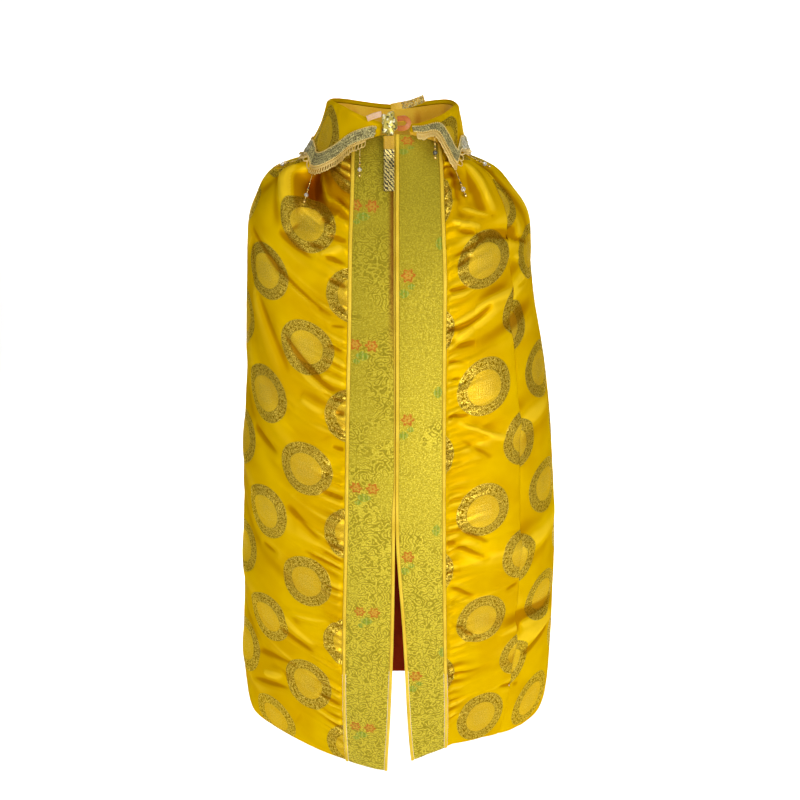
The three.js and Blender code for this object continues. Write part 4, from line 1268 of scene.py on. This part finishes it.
collar = tableOf(
    ["neckAngle", "rollX", "rollY", "rollZ", "edgeX", "edgeY", "edgeZ", "belly"],
    [
        [-14, -20, -91, 44, -24, -100, 25, 0],
        [-40, -56, -77, 57, -68, -100, 11, 3],
        [-62, -86, -54, 73, -99, -96, -11, 3],
        [-78, -102, -30, 81, -134, -76, -22, -4],
        [-95, -111, 8, 88, -154, -10, 4, -8],
        [-130, -92, 62, 93, -134, 68, -2, -4],
        [-180, -6, 98, 86, -8, 124, -22, 2],
        [-230, 82, 66, 92, 122, 72, 0, 2],
        [-262, 103, 12, 83, 120, 2, 5, 1],
        [-282, 97, -22, 74, 101, -74, -16, 3],
        [-298, 86, -45, 65, 84, -88, 8, 2],
        [-312, 71, -62, 56, 68, -92, 31, 0],
        [-330, 42, -83, 45, 45, -97, 29, 0],
        [-345, 22, -91, 42, 25, -99, 31, 0],
    ],
)
collarEnd = len(collar["neckAngle"]) - 1
collarShape = {
    "rollSize": 5, "fallClear": 10, "rollFullFall": 30, "lipDepth": 7, "wall": 1.8,
    "braidWidth": 23, "braidWall": 2.2, "standInset": 2.6, "standClear": 1.4, "standGather": 1.8,
    "standGathers": 20, "shoulderAt": 0.08, "parts": 48,
}
lowestRing = 5.0  # no part of the collar reaches farther down the body


def placeUnder(point):
    low, high = np.zeros(point.shape[:-1]), np.full(point.shape[:-1], lowestRing)

    def shape(ring):
        row = rowAt(rings, ring)
        half = np.where(point[..., 0] < 0, row["rightHalf"], row["leftHalf"])
        depth = np.where(point[..., 1] < 0, row["frontDepth"], row["backDepth"])
        return point[..., 0] / half, -point[..., 1] / depth

    for _ in range(24):
        middle = (low + high) / 2
        outside = np.hypot(*shape(middle)) > 1
        low, high = np.where(outside, middle, low), np.where(outside, high, middle)
    return np.arctan2(*shape(low)), low


def heightOverShoulders(point):
    angle, ring = placeUnder(point)
    return point[..., 2] - clothPoint(angle, ring, foldHeight(angle, ring))[..., 2]


def raisedOverShoulders(point, clear):
    raised = point.copy()
    raised[..., 2] += np.maximum(0, clear - heightOverShoulders(point))
    return raised


def downShoulders(start, length, lift):
    angle, ring = placeUnder(start)
    step = 0.005
    below = np.minimum(ring + np.arange(0, lowestRing + step, step), lowestRing)
    at = clothPoint(angle, below, lift + foldHeight(angle, below))
    far = np.linalg.norm(at - start, axis=-1) >= length
    return at[np.argmax(far)] if far.any() else at[-1]


def hangFrom(start, heading, length, clear):
    free = start + heading * length
    return free if heightOverShoulders(free) > clear else downShoulders(start, length, clear)


def collarFrame(place):
    row = rowAt(collar, place)
    roll = stacked(row["rollX"], row["rollY"], row["rollZ"])
    edge = raisedOverShoulders(stacked(row["edgeX"], row["edgeY"], row["edgeZ"]), collarShape["fallClear"])
    outward = unit(stacked(row["rollX"] + 4, row["rollY"] - 4, np.zeros_like(row["rollX"])))
    fullness = np.clip(np.linalg.norm(roll - edge, axis=-1) / collarShape["rollFullFall"], 0.25, 1)
    return row, roll, edge, outward, fullness


def fallPoint(place, down):
    place, down = np.broadcast_arrays(np.asarray(place, float), np.asarray(down, float))
    row, roll, edge, outward, fullness = collarFrame(place)
    full, d = fullness[..., None], down[..., None]
    size = collarShape["rollSize"]
    lip = roll + outward * 0.5 * size * full * d + np.array([0, 0, 1]) * collarShape["lipDepth"] * full * d
    shoulder = roll + outward * size * full - np.array([0, 0, 1]) * size * full * 0.9
    middle = (shoulder + edge) / 2 + outward * row["belly"][..., None]
    crest = roll + (shoulder - roll) * d / collarShape["shoulderAt"]
    t = (d - collarShape["shoulderAt"]) / (1 - collarShape["shoulderAt"])
    curve = shoulder * (1 - t) ** 2 + middle * 2 * t * (1 - t) + edge * t ** 2
    return np.where(d < 0, lip, np.where(d < collarShape["shoulderAt"], crest, curve))


def fallNormal(place, down):
    step = 0.02
    near = np.clip(place, step, collarEnd - step)
    around = fallPoint(near + step, down) - fallPoint(near - step, down)
    down = np.asarray(down)
    along = fallPoint(place, np.minimum(down + step, 1)) - fallPoint(place, down - step)
    return unit(np.cross(around, along))


def fallFacePoint(place, down, height):
    height = np.broadcast_arrays(np.asarray(height, float), place * down)[0]
    return fallPoint(place, down) + fallNormal(place, down) * height[..., None]


def fallLength(place):
    steps = np.linspace(0, 1, 11)
    points = fallPoint(np.asarray(place, float)[..., None], steps)
    return np.linalg.norm(np.diff(points, axis=-2), axis=-1).sum(axis=-1)


def braidTopAt(place):
    return np.clip(1 - collarShape["braidWidth"] / fallLength(place), 0.3, 1)


def arcAlong(points):
    return np.concatenate([[0], np.cumsum(np.linalg.norm(np.diff(points, axis=0), axis=1))])


# Where the columns of medallions lie along the edge of the fall, in millimetres.
fallColumns = {0: 204, 1: 366, 2: 530, 3: 700}
fallStart = 51  # how far down a repeat the cloth is cut for the roll


def makeCollarFall():
    place = np.linspace(0, collarEnd, 337)[:, None]
    rowPlaces = np.concatenate([np.linspace(-1, 0, 5), np.linspace(0, 1, 36)[1:]])
    down = rowPlaces[None, :]
    spread = np.sin(math.pi * np.clip(down, 0, 1))
    dents = (0.9 * np.sin(place * 2.3 + 4 * down) + 0.6 * np.sin(place * 5.1 - 3 * down)) * spread
    nearRoll = np.exp(-np.clip(down, 0, 1) / 0.18) * (down > 0)
    rollCreases = 0.5 * np.cos(place * 9.7 + np.sin(place * 3)) * nearRoll
    outer = fallFacePoint(place, down, dents + rollCreases)
    inner = fallFacePoint(place, down, -collarShape["wall"] + 0 * dents)[::2, ::2]
    edgeArc = arcAlong(fallPoint(place[:, 0], 1.0))[:, None]
    depth = fallLength(place[:, 0])[:, None] * np.maximum(down, 0)
    uv = stacked(patternPlace(fallColumns, edgeArc) + 0 * depth, (depth + fallStart) / medallionDrop)
    # The hollows of the dents and creases get painted shade.
    sunk = hollowness(dents + rollCreases)
    piece = makeShell("collarFall", outer, inner, uv, [satin, plainSatin], hollow=sunk)
    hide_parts("collar_fall")
    return piece


def makeCollarStand():
    shape = collarShape
    place = np.linspace(0, collarEnd, 561)[:, None]
    up = np.linspace(0, 1, 17)[None, :]
    row, _, _, outward, _ = collarFrame(place[:, 0])
    foot = bodyPoint(row["neckAngle"] * degree, 0.0) - outward * shape["standInset"]
    foot[:, 2] += shape["standClear"]
    top = fallPoint(place[:, 0], -1.0)
    top[:, 2] -= shape["standClear"]
    turn = place / collarEnd * shape["standGathers"] * 2 * math.pi
    wave = np.cos(turn) + 0.25 * np.cos(2 * turn + 1.4 * np.sin(place))
    gather = shape["standGather"] * wave * np.sin(math.pi * up * 0.9)
    uneven = 0.6 + 0.5 * np.sin(place * 2.9) * np.sin(place * 1.3 + 1)
    centre = foot[:, None] + (top - foot)[:, None] * up[..., None]

    def face(shift):
        return centre + outward[:, None] * (gather + shift)[..., None]

    outer = face(shape["wall"] - 0.6 + 0 * gather)[::2, ::2]
    inner = face(-0.1 + 0 * gather)
    uv = stacked(arcAlong(foot)[:, None] * metre + 0 * up, up * 0.09 + 0 * place)
    # The troughs of the gathers get painted shade, stronger in some places than others.
    sunk = np.clip(hollowness(-gather, 4, 0.9) * uneven, -1, 1)
    piece = makeShell("collarStand", inner, outer, uv, [standSatin, standSatin], hollow=sunk)
    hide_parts("collar_stand")
    return piece


# Joined meshes of many small things: points and faces are collected and made into one piece.
class Heap:
    def __init__(self):
        self.points = []
        self.faces = []
        self.materialOf = []
        self.count = 0

    def add(self, points, faces, material=0):
        start = self.count
        self.points.append(np.asarray(points, float).reshape(-1, 3))
        self.faces += [[start + k for k in face] for face in faces]
        self.materialOf += [material] * len(faces)
        self.count += len(self.points[-1])

    def make(self, name, materials, sharp=40):
        points = np.concatenate(self.points)
        return makeObject(name, points, self.faces, materials, None, self.materialOf, sharp)


def ballShape(rows, segments):
    points = [(0, 0, 1)]
    for i in range(1, rows):
        turn = math.pi * i / rows
        for j in range(segments):
            side = 2 * math.pi * j / segments
            points.append((math.sin(turn) * math.cos(side), math.sin(turn) * math.sin(side), math.cos(turn)))
    points.append((0, 0, -1))
    faces = [[0, 1 + j, 1 + (j + 1) % segments] for j in range(segments)]
    for i in range(rows - 2):
        for j in range(segments):
            a, b = 1 + i * segments + j, 1 + i * segments + (j + 1) % segments
            faces.append([a, a + segments, b + segments, b])
    last = len(points) - 1
    base = 1 + (rows - 2) * segments
    faces += [[last, base + (j + 1) % segments, base + j] for j in range(segments)]
    return np.array(points), faces


def tubeShape(path, radius, segments):
    path = np.asarray(path, float)
    along = unit(np.gradient(path, axis=0))
    side = unit(np.cross(along, np.array([0.3, 0.2, 0.93])))
    up = np.cross(side, along)
    points = []
    for j in range(segments):
        turn = 2 * math.pi * j / segments
        points.append(path + (side * math.cos(turn) + up * math.sin(turn)) * radius)
    return np.stack(points, axis=1).reshape(-1, 3), barFaces(len(path), segments)


braidShape = {
    "sequinRows": 4, "sequinRadius": 2.5, "sequinThick": 0.45, "sequinHeight": 1.35, "sequinTilt": 0.22,
    "step": 4.1, "beadRadius": 1.3, "beadStep": 2.9, "beadHeight": 1.2,
    "lift": 0.3, "thick": 1.3, "rib": 0.25,
}


def discShape(segments):
    turns = [2 * math.pi * j / segments for j in range(segments)]
    rim = [(math.cos(t), math.sin(t), 0) for t in turns]
    top = [(0.72 * math.cos(t), 0.72 * math.sin(t), 1) for t in turns]
    points = rim + top + [(0, 0, 0.55)]
    faces = [[j, (j + 1) % segments, segments + (j + 1) % segments, segments + j] for j in range(segments)]
    faces += [[segments + j, segments + (j + 1) % segments, 2 * segments] for j in range(segments)]
    faces.append(list(range(segments))[::-1])
    return np.array(points, float), faces


def placedOn(shape, centre, across, along, normal, size):
    flat = shape[:, :1] * across * size[0] + shape[:, 1:2] * along * size[1]
    return centre + flat + shape[:, 2:] * normal * size[2]


def makeBraid():
    braid = braidShape
    first, last = (collarEnd * k / collarShape["parts"] for k in (1, collarShape["parts"] - 1))
    place = np.linspace(first, last, 401)[:, None]
    top = braidTopAt(place[:, 0])[:, None]
    part = np.linspace(0, 1, 9)[None, :]
    down = top + (1 - top) * part
    lift = braid["lift"]
    ribs = braid["rib"] * np.cos(part * 8 * math.pi) * np.ones_like(place)
    outer = fallFacePoint(place, down, lift + braid["thick"] + ribs)
    inner = fallFacePoint(place, down, lift + 0 * ribs)[::2, ::2]
    uv = stacked(place * np.ones_like(part), part * np.ones_like(place))
    base = makeShell("braidStrip", outer, inner, uv, [braidCloth, braidCloth])
    heap = Heap()
    disc, discFaces = discShape(8)
    ball, ballFaces = ballShape(5, 8)
    random = np.random.default_rng(7)
    edgePoints = fallPoint(place[:, 0], 1.0)
    arc = arcAlong(edgePoints)
    count = int(arc[-1] / braid["step"])
    for rowIndex in range(braid["sequinRows"]):
        part = (rowIndex + 0.5) / braid["sequinRows"]
        shift = 0.5 * (rowIndex % 2)
        at = np.interp((np.arange(count) + shift + 0.25) / (count + 0.5) * arc[-1], arc, place[:, 0])
        tops = braidTopAt(at)
        down = tops + (1 - tops) * part
        centres = fallFacePoint(at, down, lift + braid["sequinHeight"])
        normals = fallNormal(at, down)
        across = unit(fallPoint(at + 0.01, down) - fallPoint(at - 0.01, down))
        along = np.cross(normals, across)
        for i in range(len(at)):
            tilt = random.normal(0, braid["sequinTilt"], 2)
            normal = unit(normals[i] + across[i] * tilt[0] + along[i] * tilt[1])
            side = unit(across[i] - normal * np.dot(across[i], normal))
            size = (braid["sequinRadius"], braid["sequinRadius"], braid["sequinThick"])
            heap.add(placedOn(disc, centres[i], side, np.cross(normal, side), normal, size), discFaces, 0)
    for part in (0.0, 1.0):
        many = int(arc[-1] / braid["beadStep"])
        at = np.interp((np.arange(many) + 0.5) / many * arc[-1], arc, place[:, 0])
        tops = braidTopAt(at)
        down = tops + (1 - tops) * part
        centres = fallFacePoint(at, down, lift + braid["beadHeight"])
        for centre in centres:
            heap.add(centre + ball * braid["beadRadius"], ballFaces, 1)
    spangles = heap.make("braidSequins", [sequinGloss, fringeThread])
    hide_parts("collar_braid")
    print("braid made:", len(heap.faces), "faces of sequins and beads")
    return base


fringeShape = {
    "loops": 108, "strip": 3, "stripWall": 1.6, "length": 9, "gap": 1, "clear": 7.5,
    "thread": 0.78, "twist": 2, "strandRadius": 0.42, "spread": 0.18, "behind": 0.8,
}


def makeFringe():
    fringe = fringeShape
    first, last = (collarEnd * k / collarShape["parts"] for k in (2, collarShape["parts"] - 2))
    places = np.linspace(first, last, 2 * fringe["loops"] + 1)
    normals = fallNormal(places, 1.0)
    tips = fallPoint(places, 1.0)
    headings = unit(tips - fallPoint(places, 0.9))

    def hung(i, drop):
        return hangFrom(tips[i], headings[i], fringe["gap"] + drop, fringe["clear"])

    tops = np.array([hung(i, 0) for i in range(len(places))])
    roots = np.array([hung(i, fringe["strip"]) for i in range(len(places))])
    ends = np.array([hung(i, fringe["strip"] + fringe["length"]) for i in range(len(places))])
    heap = Heap()
    behind = normals * fringe["stripWall"]
    strip = np.stack([tops, roots, roots - behind, tops - behind], axis=1)
    size = strip.shape[1]
    faces = []
    for i in range(len(strip) - 1):
        for j in range(size):
            k = (j + 1) % size
            faces.append([i * size + j, (i + 1) * size + j, (i + 1) * size + k, i * size + k])
    faces.append(list(range(size)))
    faces.append([(len(strip) - 1) * size + j for j in range(size)][::-1])
    heap.add(strip.reshape(-1, 3), faces, 0)
    random = np.random.default_rng(11)
    for i in range(fringe["loops"]):
        a, middle, b = roots[2 * i], ends[2 * i + 1], roots[2 * i + 2]
        longer = 1 + random.uniform(-0.16, 0.10)
        tip = (a + b) / 2 + (middle - (a + b) / 2) * longer
        out = normals[2 * i + 1]
        t = np.linspace(0, 1, 15)[:, None]
        swing = np.sin(math.pi * t)
        spread = (b - a) * fringe["spread"] * np.sin(2 * math.pi * t)
        path = a + (b - a) * t + (tip - (a + b) / 2) * swing ** 0.8 - spread
        path = path - out * fringe["behind"]
        for strand in range(2):
            turn = t * math.pi * 2 * fringe["twist"] * 2 + strand * math.pi
            side = unit(np.cross(unit(np.gradient(path, axis=0)), out))
            wide = fringe["strandRadius"]
            wound = path + side * wide * np.cos(turn) + out * wide * np.sin(turn)
            heap.add(*tubeShape(wound, fringe["thread"], 5), 1)
    piece = heap.make("collarFringe", [fringeThread, fringeThread])
    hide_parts("collar_fringe")
    print("fringe made:", fringe["loops"], "loops")


collarFall = makeCollarFall()
collarStand = makeCollarStand()
braidStrip = makeBraid()
makeFringe()

# The bead pendants

pendantRows = tableOf(
    ["place", "length", "size"],
    [
        [0.68, 44, 1], [2.9, 50, 1], [3.8, 44, 1], [4.7, 42, 1], [5.4, 44, 1], [6, 44, 1],
        [6.6, 44, 1], [7.4, 44, 1], [8.3, 42, 1], [9.1, 50, 1.15], [11.1, 36, 1.1],
    ],
)
# Beads on one thread: share of the length, radius, how long it is for its radius, and finish.
pendantBeads = [
    (0.03, 1.1, 1.0, "gold"), (0.30, 1.0, 3.2, "gold"), (0.46, 1.2, 1.0, "dark"), (0.52, 2.2, 0.9, "gold"),
    (0.585, 1.3, 0.8, "gold"), (0.70, 3.6, 1.0, "clear"), (0.805, 1.4, 0.8, "gold"), (0.90, 2.3, 1.5, "gold"),
]
beadFinishes = {"gold": 1, "clear": 2, "dark": 3}
pendantClear = 6


def makePendant(number):
    place, length, size = (pendantRows[key][number] for key in ("place", "length", "size"))
    tip = fallPoint(place, 1.0)
    heading = unit(tip - fallPoint(place, 0.9))
    fringe = fringeShape
    start = hangFrom(tip, heading, fringe["gap"] + fringe["strip"] + fringe["length"] + 1, pendantClear)
    end = downShoulders(start, length, pendantClear)
    axis = unit(end - start)
    side = unit(np.cross(axis, np.array([0.2, 0.1, 1.0])))
    up = np.cross(side, axis)
    heap = Heap()
    heap.add(*tubeShape(start + axis * np.linspace(0, 0.97, 8)[:, None] * length, 0.4, 6), 0)
    ball, ballFaces = ballShape(10, 16)
    isLast = number == len(pendantRows["place"]) - 1
    for share, radius, stretch, finish in pendantBeads:
        if isLast and finish == "clear":  # the last pendant has a dark bead there
            finish = "dark"
        r = radius * size
        centre = start + axis * share * length
        heap.add(placedOn(ball, centre, side, up, axis, (r, r, r * stretch)), ballFaces, beadFinishes[finish])
    name = "beadPendant" + str(number + 1).zfill(2)
    piece = heap.make(name, [fringeThread, goldBead, clearBead, darkBead])
    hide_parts("pendant_" + str(number + 1).zfill(2))
    return piece


beadPendants = [makePendant(i) for i in range(len(pendantRows["place"]))]
print("pendants made:", len(beadPendants))

# The tie

knotShape = {"x": -9, "y": -103, "z": 42, "halfWidth": 14, "halfDepth": 8, "halfHeight": 20, "lobes": 5}
straps = {
    "tie_strap": {"width": 9, "points": [[-44, -99, 50], [-33, -102, 54], [-21, -104, 57]]},
    "tie_upper_end": {
        "width": 11,
        "points": [[-6, -106, 66.5], [6, -107, 68.5], [24, -105, 72], [46, -100, 80]],
    },
    "tie_loop": {
        "width": 8,
        "points": [[4, -107, 49], [16, -109.5, 50], [22, -110.5, 43], [16.5, -110.5, 36], [4.5, -108, 35]],
    },
    "tie_hanging_end": {"width": 17, "points": [[-9.5, -108, 24], [-9.5, -109, 14], [-9.5, -110, 4]]},
    "tie_tip": {
        "width": 17,
        "points": [[-9.5, -110.3, 3.4], [-9.5, -112, -10], [-9.5, -118, -30], [-9.5, -126, -60]],
    },
}
strapWall = 2
strapPleat = 0.5


def catmullRom(points, share):
    table = tableOf(["x", "y", "z"], points)
    row = rowAt(table, share * (len(points) - 1))
    return stacked(row["x"], row["y"], row["z"])


def makeStrap(node, cloth):
    strap = straps[node]
    share = np.linspace(0, 1, 49)
    centre = catmullRom(strap["points"], share)
    along = unit(np.gradient(centre, axis=0))
    across = unit(np.cross(along, np.array([0, -1.0, 0])))
    thick = np.cross(across, along)
    turn = np.linspace(0, 2 * math.pi, 33)[:-1]
    wide = np.sign(np.cos(turn)) * np.abs(np.cos(turn)) ** 0.55 * strap["width"] / 2
    deep = np.sign(np.sin(turn)) * np.abs(np.sin(turn)) ** 0.7 * strapWall / 2
    pleats = strapPleat * np.cos(wide / strap["width"] * 5 * math.pi) * np.sign(deep) * 0.5
    sections = (
        centre[:, None] + across[:, None] * wide[None, :, None]
        + thick[:, None] * (deep + pleats * np.abs(np.sin(turn)))[None, :, None])
    arc = arcAlong(centre) * metre
    uv = stacked(wide[None, :] * metre + 0 * arc[:, None], arc[:, None] + 0 * wide[None, :])
    name = "".join(word.capitalize() for word in node.split("_"))
    piece = makeBar(name[0].lower() + name[1:], sections, [cloth], uv)
    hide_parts(node)
    return piece


def makeKnot():
    knot = knotShape
    ball, faces = ballShape(28, 48)
    around = np.arctan2(ball[:, 2], ball[:, 0])
    rim = np.hypot(ball[:, 0], ball[:, 2])
    lobe = 1 - 0.1 * (1 - np.cos(knot["lobes"] * around)) * rim
    crumple = 1 + 0.07 * np.sin(9 * around + 5 * rim) * rim + 0.05 * np.sin(4 * around - 9 * rim)
    size = np.array([knot["halfWidth"], knot["halfDepth"], knot["halfHeight"]])
    points = np.array([knot["x"], knot["y"], knot["z"]]) + ball * size * (lobe * crumple)[:, None]
    piece = makeObject("tieKnot", points, faces, [knotBrocade])
    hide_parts("tie_knot")


makeKnot()
strapCloths = {
    "tie_strap": paleSatin, "tie_upper_end": goldenSatin, "tie_loop": orangeSatin,
    "tie_hanging_end": goldenSatin, "tie_tip": tipBrocade,
}
tieStraps = {node: makeStrap(node, strapCloths[node]) for node in straps}


jewels = {"from": 0.45, "to": 0.98, "rows": 26, "across": 5, "reach": 0.42, "stand": 1.3, "scatter": 0.25}


def makeJewels():
    strap = straps["tie_upper_end"]
    random = np.random.default_rng(3)
    heap = Heap()
    stone, faces = ballShape(4, 6)
    for share in np.linspace(jewels["from"], jewels["to"], jewels["rows"]):
        for across in np.linspace(-jewels["reach"], jewels["reach"], jewels["across"]):
            centre = catmullRom(strap["points"], np.array([share]))[0]
            centre = centre + np.array([0.0, -jewels["stand"], 0.0])
            centre = centre + np.array([-0.2, 0, 1.0]) * across * strap["width"]
            centre = centre + random.normal(0, jewels["scatter"], 3)
            heap.add(centre + stone * random.uniform(0.8, 1.15), faces, int(random.integers(0, 2)))
    piece = heap.make("tieJewels", [sequinGloss, goldBead], sharp=20)


makeJewels()
print("tie made")
